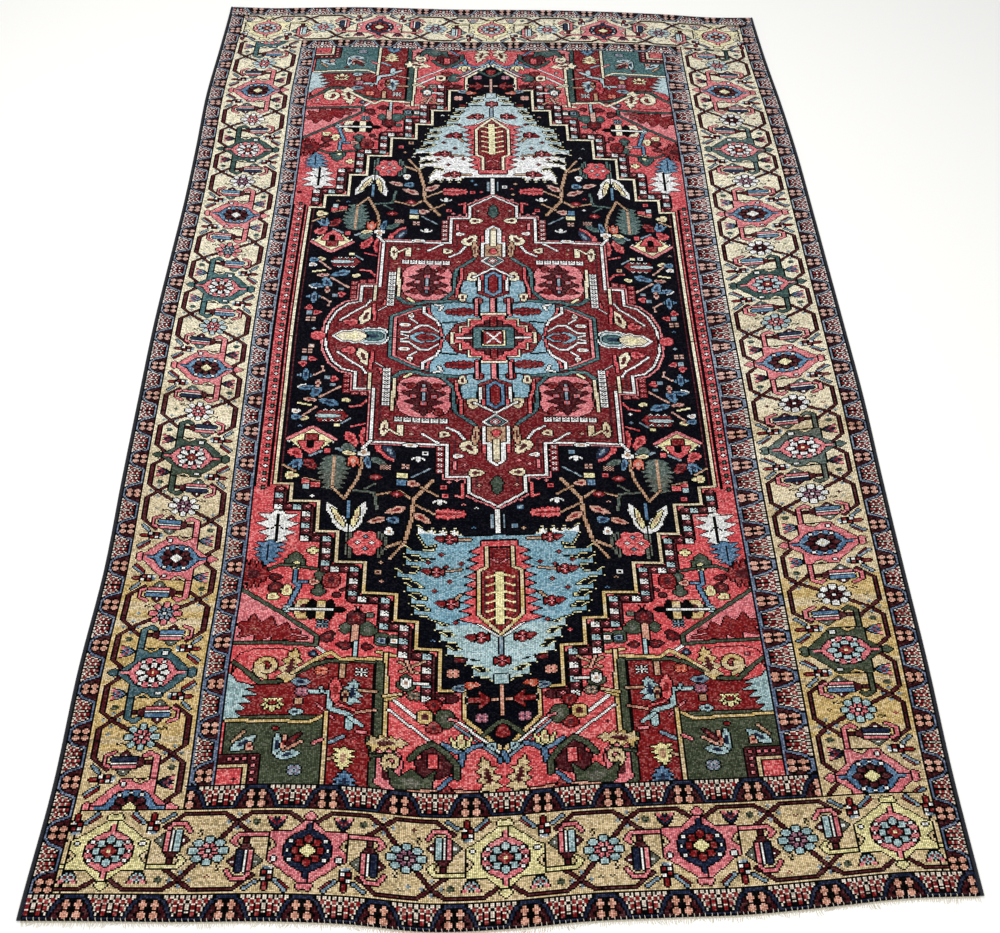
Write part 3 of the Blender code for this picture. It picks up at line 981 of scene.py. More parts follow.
CUSHION_FIGURES = (
    ("q", 3.0, 71, 53, 63, 43, 55, 42, 46, 46, 25, 46),
    ("p", "round", 48, 48, 48, 95, 37),
    ("m", "oak", 48, 53, 48, 94, 31),
    ("rm", "bud", 42, 60, 36, 57, 7, 54, 60, 60, 57, 7, 38, 92, 38, 84, 6),
    ("h", 1.6, 48, 58, 48, 78),
    ("sh", EYE, 48, 63, 41, 71, 55, 71, 48, 79),
    ("r", DOT, 44, 88, 52, 88, 35, 66, 61, 66),
    ("y", 1.6, 61, 49, 57, 45),
    ("g", 2.2, 68, 52, 69, 88),
    ("q", 2.4, 35, 49, 28, 60, 28, 76, 27, 88, 14, 103),
    ("s", 1.8, 26, 52, 26, 62, 23, 76, 23, 90),
)
# Sky blue grounds round the medallion's heart.
CROSS_GROUND = ((35, -1), (27, 18), (10, 24), (10, 42), (26, 45), (44, 42), (44, 32), (36, 12))
HEAD_GROUND = ((2, 40), (19, 46), (23, 60), (22, 72), (13, 75), (12, 56), (2, 50))
CROSS_FIGURES = (
    ("w", 2.0, 38, 35, 36, 40, 41, 42),
    ("k", 1.4, 32, 19, 35, 19),
    ("k", 1.4, 26, 20, 30, 20),
    ("s", 1.4, 46, 37, 45, 30, 38, 18, 36, 3),
    ("w", 1.4, 49, 38, 49, 31, 40, 22, 38, 16),
    ("gm", "bud", 22, 56, 22, 46, 7, 15, 73, 15, 85, 9),
    ("B", "block", 6, 31, 6, 45, 6),
    ("rm", "round", 11, 43, 11, 51, 7),
    ("s", 2.6, 12, 28, 12, 42),
    ("s", 2.4, 1, 35, 1, 50),
    ("w", 1.2, 10, 60, 10, 78, 2, 88),
    ("s", 1.6, 8, 75, 8, 83),
)


def dotted_bar(weaver, first, last, step):
    """White squares with dark crosses along b."""
    for b in range(first, last, step):
        square = weaver.at(0, b)
        square.box(-2.5, 2.5, 0, step - 1, "w")
        square.at(0, (step - 1) / 2).chart(("k.k", ".k.", "k.k"))


def medallion_quarter(quarter):
    """A quarter of the great medallion."""
    quarter.band([(a + 2.5 * (a > 0), b + 2.5) for a, b in MEDALLION], "p", 1.4)
    quarter.shape([(-1, -1), (-1, 192), *MEDALLION, (118, -1)], "R", None)
    quarter.band(MEDALLION, "w", 1.5)
    quarter.band([(a - 5, b - 5) for a, b in MEDALLION[1:-1]], "m", 1.0, None)
    quarter.shape([(0, 0), *INNER_HEXAGON], "R", None)
    quarter.band(((82, 124), (87, 132)), "w", 2.0)
    draw(quarter, MEDALLION_FIGURES)
    draw(quarter, CUSHION_FIGURES)
    dotted_bar(quarter.at(73.5, 0), 39, 84, 5)
    dotted_bar(quarter.at(0, 98, 1, 1, True), 32, 66, 6)
    quarter.band(((69, 0), (69, 24), (52, 36), (28, 40)), "p", 1.8)
    quarter.band(INNER_HEXAGON, "q", 2.4)
    quarter.shape(CROSS_GROUND, "B")
    quarter.shape(HEAD_GROUND, "B")
    draw(quarter, CROSS_FIGURES)
    serrated(quarter.at(14, 33, 1, 1, True), 20, 6, 5, "r", "m")


def medallion_core(loom):
    """The middle of the medallion, over all four quarters."""
    for flip in (1, -1):
        axis = loom.at(0, 0, 1, flip)
        axis.box(-12.5, -10.5, 30, 50, "p")
        axis.box(10.5, 12.5, 30, 50, "p")
        axis.box(-1.5, 1.5, 30, 50, "p")
        form(axis, "cask", "b", (0, 52), (0, 86), 12)
        form(axis, "cask", "r", (0, 56), (0, 82), 6)
        axis.band(((-14, 78), (0, 90), (14, 78)), "w", 1.6)
        for size, dye in ((9, "w"), (6.5, "q"), (4, "p"), (2, "w")):
            axis.shape([(-size, 100), (0, 100 - size), (size, 100), (0, 100 + size)], dye)
        lamp = [(8, 106), (8, 124), (4.5, 124), (4.5, 143), (0, 148)]
        axis.shape(both_ways([(0, 106), *lamp]), "t")
        axis.band(lamp, "w", 2.0)
        axis.band([(-a, b) for a, b in lamp], "w", 2.0)
        axis.box(-1.6, 1.6, 120, 142, "g")
        form(axis, "leaf", "s", (0, 109), (0, 117), 6)
        form(axis, "leaf", "v", (0, 160), (0, 180), 8)
    rose = stepped([(30, 0), (24, 7), (18, 15), (9, 24), (0, 31)])
    whole = both_ways(rose)
    whole += [(a, -b) for a, b in reversed(whole)]
    for size, dye in ((1.0, "g"), (0.9, "s"), (0.68, "m")):
        loom.shape([(a * size, b * size) for a, b in whole], dye)
    loom.band(((-26, 0), (26, 0)), "w", 1.2)
    loom.box(-2, 2, -26, 26, "r")
    loom.box(-14, 14, -13, 13, "q")
    for a in range(-12, 13, 4):
        for b in (-11, 11):
            loom.box(a - 0.5, a + 0.5, b - 0.5, b + 0.5, "h", None)
    loom.box(-8, 8, -9.5, 9.5, "y")
    loom.box(-6.5, 6.5, -8, 8, "r")
    loom.band(((-5, -7), (5, 7)), "w", 1.2, None)
    loom.band(((-5, 7), (5, -7)), "w", 1.2, None)
    for side in (1, -1):
        form(loom, "round", "s", (118 * side, 0), (128 * side, 0), 10, "n")


# Filling motifs by the ground they lie on, with the dyes each may take.
FILLERS = (
    ("n", (PLUS, EYE, CARET), ("sr", "bl", "ew", "tm", "wk", "hb")),
    ("s", (PLUS, CARET, EYE), ("mk", "vk", "mp", "Ng", "rk")),
    ("g", (CARET, PLUS, TEETH), ("mk", "hk", "vk", "rk")),
    ("R", (PLUS, DASH, CARET), ("mk", "tk", "pm", "mk")),
    ("r", (PLUS, CARET), ("mk", "mk", "tk", "sk")),
)
FILLER_SEED = 11


def fill_bare_ground(knots):
    """Small filling motifs wherever a ground lies bare, as weavers set them, none in a row."""
    chance = random.Random(FILLER_SEED)
    loom = Weaver(knots)
    for ground, charts, dye_sets in FILLERS:
        for line in range(8, ROWS - 8, 9):
            for column in range(8, COLUMNS - 8, 8):
                x = column + chance.randint(-2, 2)
                y = line + chance.randint(-3, 3)
                chart = chance.choice(charts)
                dyes = chance.choice(dye_sets)
                patch = knots[y - 3:y + 4, x - 3:x + 4]
                if (patch == DYE_NUMBER[ground]).all():
                    place = loom.at(x - COLUMNS // 2, y - ROWS // 2)
                    place.chart(chart, dict(zip("12", dyes)))


def weave_field(knots):
    """Everything inside the inner guard stripe."""
    loom = Weaver(knots)
    for flip_b in (-1, 1):
        far = flip_b > 0
        for flip_a in (-1, 1):
            quarter = loom.at(0, 0, flip_a, flip_b)
            rose_corner(quarter)
            corner_panel(quarter, far)
            hexagon_ground(quarter)
            side_stripe(quarter)
            ground_flowers(quarter)
            pendant_half(quarter, far)
            draw(quarter, END_FIGURES)
            medallion_quarter(quarter)
        pendant_comb(loom.at(0, 0, 1, flip_b))
    medallion_core(loom)


# Rows where the weaver ran into a deeper lot of gold, told from the near end.
OLD_GOLD_ROWS = ((114, 119), (124, 158), (163, 169), (180, 214), (222, 228), (236, 256))


def weave_cartoon():
    """The dye number of every knot, row by row from the near end."""
    knots = np.full((ROWS, COLUMNS), DYE_NUMBER["s"], np.uint8)
    weave_field(knots)
    weave_borders(knots)
    fill_bare_ground(knots)
    for first, last in OLD_GOLD_ROWS:
        rows = knots[first:last]
        rows[rows == DYE_NUMBER["g"]] = DYE_NUMBER["G"]
    return knots


# ---------------------------------------------------------------------------
# The cartoon: the dye of each knot
# ---------------------------------------------------------------------------
class Weaver:
    """Knots shapes into the cartoon in a motif's own knots: a across it and b along it.

    Loom places count from the rug's middle: X to the right and Y towards the far end.
    """

    def __init__(self, knots, x=0.0, y=0.0, across=(1, 0), along=(0, 1)):
        self.knots = knots
        self.origin = np.array((x, y), float)
        self.axes = np.array((across, along), float)

    def at(self, a, b, flip_a=1, flip_b=1, turned=False):
        """A weaver whose motif starts at (a, b), mirrored across or along, or turned a quarter."""
        x, y = self.to_loom([(a, b)])[0]
        across, along = self.axes * np.array([[flip_a], [flip_b]])
        if turned:
            across, along = along, across
        return Weaver(self.knots, x, y, across, along)

    def to_loom(self, points):
        return np.asarray(points, float) @ self.axes + self.origin

    def window(self, low, high):
        """Row and column slices round loom corners, and the knots' centres inside them."""
        margin = 2
        left = max(int(math.floor(low[0])) + COLUMNS // 2 - margin, 0)
        right = min(int(math.ceil(high[0])) + COLUMNS // 2 + margin, COLUMNS)
        near = max(int(math.floor(low[1])) + ROWS // 2 - margin, 0)
        far = min(int(math.ceil(high[1])) + ROWS // 2 + margin, ROWS)
        if left >= right or near >= far:
            return None
        x = np.arange(left, right) - COLUMNS // 2 + 0.5
        y = np.arange(near, far) - ROWS // 2 + 0.5
        return (slice(near, far), slice(left, right)), *np.meshgrid(x, y)

    def knot(self, view, mask, dye, edge):
        """Knots a mask in one dye, with a one-knot outline round it."""
        area = self.knots[view]
        if edge:
            wide = mask.copy()
            wide[1:] |= mask[:-1]
            wide[:-1] |= mask[1:]
            wide[:, 1:] |= mask[:, :-1]
            wide[:, :-1] |= mask[:, 1:]
            area[wide] = DYE_NUMBER[edge]
        if dye:
            area[mask] = DYE_NUMBER[dye]

    def shape(self, points, dye, edge="k"):
        """Fills a polygon."""
        corners = self.to_loom(points)
        found = self.window(corners.min(0), corners.max(0))
        if found is None:
            return
        view, x, y = found
        inside = np.zeros(x.shape, bool)
        for (x0, y0), (x1, y1) in zip(corners, np.roll(corners, -1, axis=0)):
            if y0 == y1:
                continue
            crosses = (y0 > y) != (y1 > y)
            inside ^= crosses & (x < (x1 - x0) * (y - y0) / (y1 - y0) + x0)
        self.knot(view, inside, dye, edge)

    def band(self, points, dye, width, edge="k"):
        """Knots a band of an even width along a line of points."""
        corners = self.to_loom(points)
        found = self.window(corners.min(0) - width, corners.max(0) + width)
        if found is None:
            return
        view, x, y = found
        near = np.zeros(x.shape, bool)
        for (x0, y0), (x1, y1) in zip(corners, corners[1:]):
            length = max((x1 - x0) ** 2 + (y1 - y0) ** 2, 1e-6)
            share = np.clip(((x - x0) * (x1 - x0) + (y - y0) * (y1 - y0)) / length, 0, 1)
            away = np.hypot(x - x0 - share * (x1 - x0), y - y0 - share * (y1 - y0))
            near |= away <= width / 2 + 0.02
        self.knot(view, near, dye, edge)

    def box(self, a0, a1, b0, b1, dye, edge="k"):
        self.shape([(a0, b0), (a1, b0), (a1, b1), (a0, b1)], dye, edge)

    def chart(self, rows, dyes=None, half=False, quarter=False, edge=None):
        """Knots a chart centred on the motif's start. A dot leaves a knot as it is.

        The first row lies farthest along. A half chart holds the left half and the middle
        column, and a quarter chart the far left quarter with the middle row and column.
        """
        rows = [row + (row[-2::-1] if half or quarter else "") for row in rows]
        if quarter:
            rows = rows + rows[-2::-1]
        found = []
        for place, row in enumerate(rows):
            for step, key in enumerate(row):
                if key == ".":
                    continue
                a = step - (len(row) - 1) / 2
                b = (len(rows) - 1) / 2 - place
                x, y = self.to_loom([(a, b)])[0]
                column = int(math.floor(x)) + COLUMNS // 2
                line = int(math.floor(y)) + ROWS // 2
                if 1 <= column < COLUMNS - 1 and 1 <= line < ROWS - 1:
                    found.append((line, column, DYE_NUMBER[(dyes or {}).get(key, key)]))
        if edge:
            for line, column, _ in found:
                self.knots[line - 1:line + 2, column] = DYE_NUMBER[edge]
                self.knots[line, column - 1:column + 2] = DYE_NUMBER[edge]
        for line, column, dye in found:
            self.knots[line, column] = dye

    def rosette(self, radius, lobes, depth, dye, stretch):
        """A ring of petals in one dye: its radius, how many lobes, and how deep they are cut."""
        reach = (radius + depth + 1) * max(stretch, 1.0)
        found = self.window(self.origin - reach, self.origin + reach)
        if found is None:
            return
        view, x, y = found
        offset = np.stack([x - self.origin[0], y - self.origin[1]], -1) @ self.axes.T
        a = offset[..., 0] / stretch
        b = offset[..., 1]
        inside = np.hypot(a, b) <= radius + depth * np.cos(lobes * np.arctan2(b, a))
        self.knot(view, inside, dye, "k")


def petals(weaver, inner, outer, count, dye, first, stretch):
    """Blunt separate petals round a centre, from an inner to an outer radius."""
    spread = math.pi / count
    for number in range(count):
        middle = 2 * math.pi * (number + first) / count
        outline = []
        for radius, share in ((inner, 0.3), (outer * 0.72, 0.72), (outer, 0.42)):
            outline.append((radius, middle + spread * share))
            outline.insert(0, (radius, middle - spread * share))
        weaver.shape([(r * math.cos(t) * stretch, r * math.sin(t)) for r, t in outline], dye)


def blossom(weaver, petal_dye, heart_dye):
    """The border's lesser flower: eight blunt petals round an eight-pointed star."""
    weaver.rosette(7.6, 8, 0.4, "k", 0.9)
    petals(weaver, 4.4, 10.4, 8, petal_dye, 0.0, 0.92)
    petals(weaver, 0.6, 5.2, 8, heart_dye, 0.5, 0.92)
    weaver.box(-1, 1, -1, 1, "w")


# ---------------------------------------------------------------------------
# Nodes and materials
# ---------------------------------------------------------------------------
def node(tree, kind, inputs=(), output=0, **settings):
    """Adds a node with its settings and links, and gives one of its outputs.

    The inputs are values or other nodes' outputs, in a row from the first one on or in a dict.
    """
    made = tree.nodes.new("ShaderNode" + kind)
    for name, value in settings.items():
        setattr(made, name, value)
    for name, value in inputs.items() if isinstance(inputs, dict) else enumerate(inputs):
        socket = made.inputs[name]
        if isinstance(value, bpy.types.NodeSocket):
            tree.links.new(value, socket)
        else:
            socket.default_value = value
    return made.outputs[output] if made.outputs else None


def new_material(name):
    """An empty material and its node tree."""
    material = bpy.data.materials.new(name)
    material.use_nodes = True
    material.node_tree.nodes.clear()
    return material, material.node_tree


def close_material(tree, colour, height, distance, **shader_values):
    """Ends a material with its shader, its bump and its output."""
    bump = node(tree, "Bump", {"Height": height, "Distance": distance})
    inputs = {"Base Color": colour, "Normal": bump}
    inputs.update({name.replace("_", " "): value for name, value in shader_values.items()})
    shader = node(tree, "BsdfPrincipled", inputs)
    node(tree, "OutputMaterial", {"Surface": shader})


def lot_colours(settings, key, near, far):
    """A dye's near and far lots in linear colour, following the colour set for the near lot."""
    usual = np.array(linear(near))
    chosen = np.array(getattr(settings, USER_DYES[key])) if key in USER_DYES else usual
    shift = np.array(linear(far)) / usual
    away = chosen * (1 + (shift - 1) * settings.lot_change)
    return chosen, np.clip(away, 0.0, 1.0)


def knot_places(tree):
    """Across and along, the knot's number in its block and the place within the knot."""
    block = node(tree, "UVMap", uv_map="block")
    found = []
    for place in node(tree, "SeparateXYZ", (block,)).node.outputs[:2]:
        whole = node(tree, "Math", (place,), operation="FLOOR")
        number = node(tree, "Math", (whole, BLOCK - 1.0), operation="MINIMUM")
        number = node(tree, "Math", (number, 0.0), operation="MAXIMUM")
        found.append((number, node(tree, "Math", (place, number), operation="SUBTRACT")))
    return found


def knot_dye(tree, settings):
    """The colour of the knot under a point, its place in the knot and on the loom, and a chance."""
    (column, along_x), (row, along_y) = knot_places(tree)
    carried = node(tree, "Attribute", attribute_name="knot_dyes")
    rows = node(tree, "SeparateColor", (carried,)).node.outputs
    packed = 0.0
    for number, value in enumerate((*rows[:3], carried.node.outputs["Alpha"])):
        here = node(tree, "Math", (row, float(number), 0.5), operation="COMPARE")
        packed = node(tree, "Math", (here, value, packed), operation="MULTIPLY_ADD")
    # The knots of a row lie side by side as digits, the first warp's in the ones.
    base = float(DYE_PLACES)
    place = node(tree, "Math", (base, column), operation="POWER")
    place = node(tree, "Math", (place,), operation="ROUND")
    shifted = node(tree, "Math", (packed, place), operation="DIVIDE")
    shifted = node(tree, "Math", (shifted,), operation="FLOOR")
    digit = node(tree, "Math", (shifted, base), operation="MODULO")
    middle = node(tree, "Math", (digit, 0.5), operation="ADD")
    factor = node(tree, "Math", (middle, base), operation="DIVIDE")
    # A colour ramp for the near lots and one for the far lots, with a dye in each equal place.
    lots = [lot_colours(settings, row[0], row[2], row[3]) for row in DYES]
    ramps = []
    for colours in zip(*lots):
        ramp = node(tree, "ValToRGB", (factor,))
        ramp.node.color_ramp.interpolation = "CONSTANT"
        stops = ramp.node.color_ramp.elements
        while len(stops) < len(colours):
            stops.new(1.0)
        for number, colour in enumerate(colours):
            stops[number].position = number / DYE_PLACES
            stops[number].color = (*colour, 1.0)
        ramps.append(ramp)

    loom = node(tree, "UVMap", uv_map="loom")
    # Dye lots change row by row, so their bands run straight across the rug.
    stretched = node(tree, "Mapping", {"Vector": loom, "Scale": (0.002, 0.03, 1.0)})
    streaks = {"Vector": stretched, "Scale": 1.0, "Detail": 3.0}
    bands = node(tree, "TexNoise", streaks, noise_dimensions="2D")
    up_rug = node(tree, "SeparateXYZ", (loom,)).node.outputs[1]
    share = node(tree, "Math", (up_rug, float(ROWS)), operation="DIVIDE")
    centred = node(tree, "Math", (share, 0.25), operation="SUBTRACT")
    banded = node(tree, "Math", (bands, 0.5, centred), operation="MULTIPLY_ADD")
    change = (banded, 0.12, 0.62, 0.0, 1.0)
    lot = node(tree, "MapRange", change, interpolation_type="SMOOTHSTEP")
    colour = node(tree, "Mix", {0: lot, 6: ramps[0], 7: ramps[1]}, 2, data_type="RGBA")
    # Each knot takes the dye a little differently, and so does each row as its yarn runs out.
    knot = node(tree, "VectorMath", (loom,), operation="FLOOR")
    chance = node(tree, "TexWhiteNoise", {"Vector": knot}, noise_dimensions="2D")
    knot_row = node(tree, "SeparateXYZ", (knot,)).node.outputs[1]
    row_chance = node(tree, "TexWhiteNoise", {"W": knot_row}, noise_dimensions="1D")
    tone = node(tree, "Math", (chance, 0.95, 0.24), operation="MULTIPLY_ADD")
    tone = node(tree, "Math", (bands, 0.36, tone), operation="MULTIPLY_ADD")
    tone = node(tree, "Math", (row_chance, 0.16, tone), operation="MULTIPLY_ADD")
    tinted = node(tree, "VectorMath", {0: colour, "Scale": tone}, operation="SCALE")
    return tinted, along_x, along_y, loom, chance


def dome(tree, place):
    """Height across one knot: 1 in its middle and 0 where it meets the next."""
    centred = node(tree, "Math", (place, 2.0, -1.0), operation="MULTIPLY_ADD")
    away = node(tree, "Math", (centred,), operation="ABSOLUTE")
    fall = node(tree, "Math", (away, 3.0), operation="POWER")
    return node(tree, "Math", (1.0, fall), operation="SUBTRACT")


# Clipped wool of a worn carpet. It scatters light in all directions and its fibres glow
# softly at a glance, so it never shines; the rows of knots show as a fine grain of painted shade.
def pile_material(settings):
    material, tree = new_material("Hand-knotted sheep's wool pile, clipped and worn")
    colour, across, along, loom, chance = knot_dye(tree, settings)
    tuft = node(tree, "Math", (dome(tree, across), dome(tree, along)), operation="MULTIPLY")
    # Fibre ends are about 0.4 mm apart, eleven to a knot across.
    fibre_grain = {"Vector": loom, "Scale": 11.0, "Detail": 2.0}
    fibres = node(tree, "TexNoise", fibre_grain, noise_dimensions="2D")
    # Painted shade: darkest in the gaps between knots and lightest in each knot's middle, with fibre
    # noise.
    shade = node(tree, "Math", (tuft, 1.0, 0.34), operation="MULTIPLY_ADD")
    shade = node(tree, "Math", (shade, 0.25), operation="SUBTRACT")
    fibres_and_knot_shade = node(tree, "Math", (fibres, 0.5, shade), operation="MULTIPLY_ADD")
    shaded = node(tree, "VectorMath", {0: colour, "Scale": fibres_and_knot_shade}, operation="SCALE")
    # Some knots are worn pale at their tips, more so in soft patches and less in the dark dyes.
    patches = {"Vector": loom, "Scale": 0.035, "Detail": 5.0}
    worn = node(tree, "TexNoise", patches, noise_dimensions="2D")
    least = node(tree, "Math", (chance, 0.84), operation="SUBTRACT")
    wear = node(tree, "Math", (worn, 0.5, least), operation="MULTIPLY_ADD")
    depth = node(tree, "VectorMath", (colour,), "Value", operation="LENGTH")
    bright = node(tree, "Math", (depth, 1.3, 0.01), operation="MULTIPLY_ADD")
    share = node(tree, "Math", (bright, 0.85), operation="MINIMUM")
    wear = node(tree, "Math", (wear, 0.0), operation="MAXIMUM")
    pale = node(tree, "Math", (wear, share), operation="MULTIPLY")
    tip = (*linear("#d6cbc0"), 1.0)
    dusty = node(tree, "Mix", {0: pale, 6: shaded, 7: tip}, 2, data_type="RGBA")
    height = node(tree, "Math", (fibres, 0.35, tuft), operation="MULTIPLY_ADD")
    close_material(
        tree, dusty, height, 0.0011, Roughness=0.92, IOR=1.54, Specular_IOR_Level=0.01,
        Sheen_Weight=0.005, Sheen_Roughness=0.5,
    )
    return material


# The back of the knots between cotton wefts: flat, hard and ribbed, with no sheen.
def back_material(settings):
    material, tree = new_material("Knotted foundation, cotton warp and weft with wool collars")
    colour, across, along = knot_dye(tree, settings)[:3]
    # Each knot shows as two wool nodes, with a cotton weft in the groove before the next row.
    doubled = node(tree, "Math", (across, 2.0), operation="MULTIPLY")
    paired = node(tree, "Math", (doubled,), operation="FRACT")
    collar = node(tree, "Math", (dome(tree, paired), dome(tree, along)), operation="MULTIPLY")
    weft = node(tree, "Math", (along, 0.0, 0.16), operation="COMPARE")
    weft_colour = (*linear("#b3a78c"), 1.0)
    cotton = node(tree, "Mix", {0: weft, 6: colour, 7: weft_colour}, 2, data_type="RGBA")
    dust = (*linear("#8a8272"), 1.0)
    dulled = node(tree, "Mix", {0: 0.12, 6: cotton, 7: dust}, 2, data_type="RGBA")
    # Painted shade: the colour darkens in the grooves between the wool nodes and between rows.
    shade = node(tree, "Math", (collar, 0.45, 0.6), operation="MULTIPLY_ADD")
    shaded = node(tree, "VectorMath", {0: dulled, "Scale": shade}, operation="SCALE")
    close_material(
        tree, shaded, collar, 0.0006, Roughness=0.95, IOR=1.52, Specular_IOR_Level=0.12
    )
    return material


# Dark wool wound tightly round the edge cords: each turn catches a soft line of light.
def cord_material(settings):
    material, tree = new_material("Overcast selvedge, plied dark wool")
    place = node(tree, "UVMap", uv_map="wrap")
    parts = node(tree, "SeparateXYZ", (place,)).node.outputs
    turn = node(tree, "Math", (parts[1],), operation="FLOOR")
    chance = node(tree, "TexWhiteNoise", {"W": turn}, noise_dimensions="1D")
    patches = {"W": parts[1], "Scale": 0.02, "Detail": 2.0}
    lot = node(tree, "TexNoise", patches, noise_dimensions="1D")
    blend = node(tree, "Math", (chance, 0.35, lot), operation="MULTIPLY_ADD")
    pale = node(tree, "Math", (blend, 0.35), operation="SUBTRACT")
    # A few turns have been renewed in a greyer wool.
    dark = (*settings.cord_colour, 1.0)
    renewed = (*linear("#1d1f26"), 1.0)
    mended = node(tree, "Mix", {0: pale, 6: dark, 7: renewed}, 2, data_type="RGBA")
    # Two plies twist round each other about every 2 mm.
    strand = node(tree, "Math", (parts[0], 24.0, parts[1]), operation="MULTIPLY_ADD")
    angle = node(tree, "Math", (strand, 2 * math.pi), operation="MULTIPLY")
    twist = node(tree, "Math", (angle,), operation="SINE")
    # Painted shade: the colour darkens where the plies twist into each other.
    shade = node(tree, "Math", (twist, 0.12, 0.95), operation="MULTIPLY_ADD")
    shaded = node(tree, "VectorMath", {0: mended, "Scale": shade}, operation="SCALE")
    close_material(
        tree, shaded, twist, 0.0002, Roughness=0.88, IOR=1.54, Specular_IOR_Level=0.2,
        Sheen_Weight=0.12,
    )
    return material


# Unbleached cotton warp ends: matt, a little grey from the floor, twisted yarn.
def cotton_material(settings):
    material, tree = new_material("Frayed warp cotton, hand-spun and undyed")
    place = node(tree, "UVMap", uv_map="strand")
    parts = node(tree, "SeparateXYZ", (place,)).node.outputs
    yarn = node(tree, "Math", (parts[0],), operation="FLOOR")
    chance = node(tree, "TexWhiteNoise", {"W": yarn}, noise_dimensions="1D")
    soiled = node(tree, "Math", (chance, 0.45), operation="MULTIPLY")
    clean = (*settings.fringe_colour, 1.0)
    dust = (*linear("#b9a684"), 1.0)
    colour = node(tree, "Mix", {0: soiled, 6: clean, 7: dust}, 2, data_type="RGBA")
    # The plies of a yarn turn about every 2.5 mm of its length.
    strand = node(tree, "Math", (parts[0], 2.0, parts[1]), operation="MULTIPLY_ADD")
    angle = node(tree, "Math", (strand, 2 * math.pi), operation="MULTIPLY")
    twist = node(tree, "Math", (angle,), operation="SINE")
    # Painted shade: the colour darkens where the plies twist into each other.
    shade = node(tree, "Math", (twist, 0.1, 0.92), operation="MULTIPLY_ADD")
    shaded = node(tree, "VectorMath", {0: colour, "Scale": shade}, operation="SCALE")
    close_material(
        tree, shaded, twist, 0.0002, Roughness=0.93, IOR=1.53, Specular_IOR_Level=0.15,
        Sheen_Weight=0.08,
    )
    return material


# Painted studio floor: smooth, matt and even, so that only the rug's soft shadow shows.
def floor_material():
    material, tree = new_material("Matt painted studio floor")
    # Roller stipple about 3 mm across.
    place = node(tree, "NewGeometry", output="Position")
    stipple = node(tree, "TexNoise", {"Vector": place, "Scale": 330.0, "Detail": 2.0})
    paint = (*linear("#e9e7e2"), 1.0)
    close_material(tree, paint, stipple, 0.0002, Roughness=0.7, IOR=1.5)
    return material


# ---------------------------------------------------------------------------
# Meshes
# ---------------------------------------------------------------------------
COLUMN_WIDTH = RUG_WIDTH * (1 - 2 * CORD_SHARE) / COLUMNS
ROW_DEPTH = RUG_LENGTH / ROWS
# Height of the worn pile at insets from its edge, as the frame's solid is rounded.
EDGE_INSETS = (0.0, 0.0025, 0.007)
EDGE_HEIGHTS = (0.55, 0.86, 1.0)
# Clearance between the pile's hidden lower side and the foundation's.
HIDDEN_GAP = 0.0001
# How far the pattern wanders from the loom's straight lines, at even steps: knots to the right
# at mid-length, from the left edge to the right, and knots towards the far end at mid-width,
# from the near end to the far end, with the share of these at each step across.
DRIFT_ACROSS = (
    0.0, -1.3, -2.4, -3.3, -4.1, -4.7, -5.2, -5.4, -5.5,
    -5.8, -6.3, -7.2, -8.6, -9.9, -7.6, -3.8, 0.0,
)
DRIFT_ALONG = (0.0, 3.0, -3.5, -8.7, -10.5, -8.0, -3.0, 3.0, 0.0)
DRIFT_SHARE = (0.0, 0.7, 1.25, 1.1, 1.0, 1.3, 1.7, 1.0, 0.0)


def loom_lines(count, size):
    """Grid lines in knots: one each block, and closer where the edge is rounded."""
    insets = [inset / size for inset in EDGE_INSETS]
    return np.array(insets + list(range(BLOCK, count, BLOCK)) + [count - i for i in insets[::-1]])


def drifted(column, row):
    """X and Y of places on the loom, with the wandering of the pattern."""
    u = column / COLUMNS
    v = row / ROWS
    column = column + smooth_read(DRIFT_ACROSS, u) * 4 * v * (1 - v)
    row = row + smooth_read(DRIFT_ALONG, v) * smooth_read(DRIFT_SHARE, u)
    return rug_point(CORD_SHARE + column / COLUMNS * (1 - 2 * CORD_SHARE), row / ROWS)


def pile_height(column, row):
    """Height of the pile's surface at places on the loom."""
    inset_x = np.minimum(column, COLUMNS - column) * COLUMN_WIDTH
    inset_y = np.minimum(row, ROWS - row) * ROW_DEPTH
    share = np.interp(np.minimum(inset_x, inset_y), EDGE_INSETS, EDGE_HEIGHTS)
    u = column / COLUMNS
    v = row / ROWS
    across = np.sin(2 * np.pi * (RIPPLES_ACROSS * u + 0.7 * v))
    along = np.sin(2 * np.pi * (RIPPLES_ALONG * v - 0.9 * u))
    return PILE_TOP * share + np.where(share > 0.999, RIPPLE_HEIGHT * (across * along), 0.0)


def packed_blocks(knots):
    """The dyes of each block of knots as four numbers, one for each of its rows."""
    digits = knots.reshape(ROWS // BLOCK, BLOCK, COLUMNS // BLOCK, BLOCK).astype(np.int64)
    weights = DYE_PLACES ** np.arange(BLOCK)
    return (digits * weights).sum(-1).transpose(0, 2, 1).astype(np.float32)


def new_piece(name, points, faces, materials, body_slot, *nodes):
    """A named mesh piece that rides the body and stands for nodes of the frame; body_slot is not used.
    """
    mesh = bpy.data.meshes.new(name)
    mesh.from_pydata(points, [], faces)
    for material in materials:
        mesh.materials.append(material)
    piece = bpy.data.objects.new(name, mesh)
    bpy.context.scene.collection.objects.link(piece)
    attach(piece, BODY)
    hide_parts(*nodes)
    return piece


def add_layer(mesh, name, corners):
    """Adds a UV layer from one pair for each face corner."""
    layer = mesh.uv_layers.new(name=name)
    layer.data.foreach_set("uv", np.asarray(corners, np.float32).ravel())


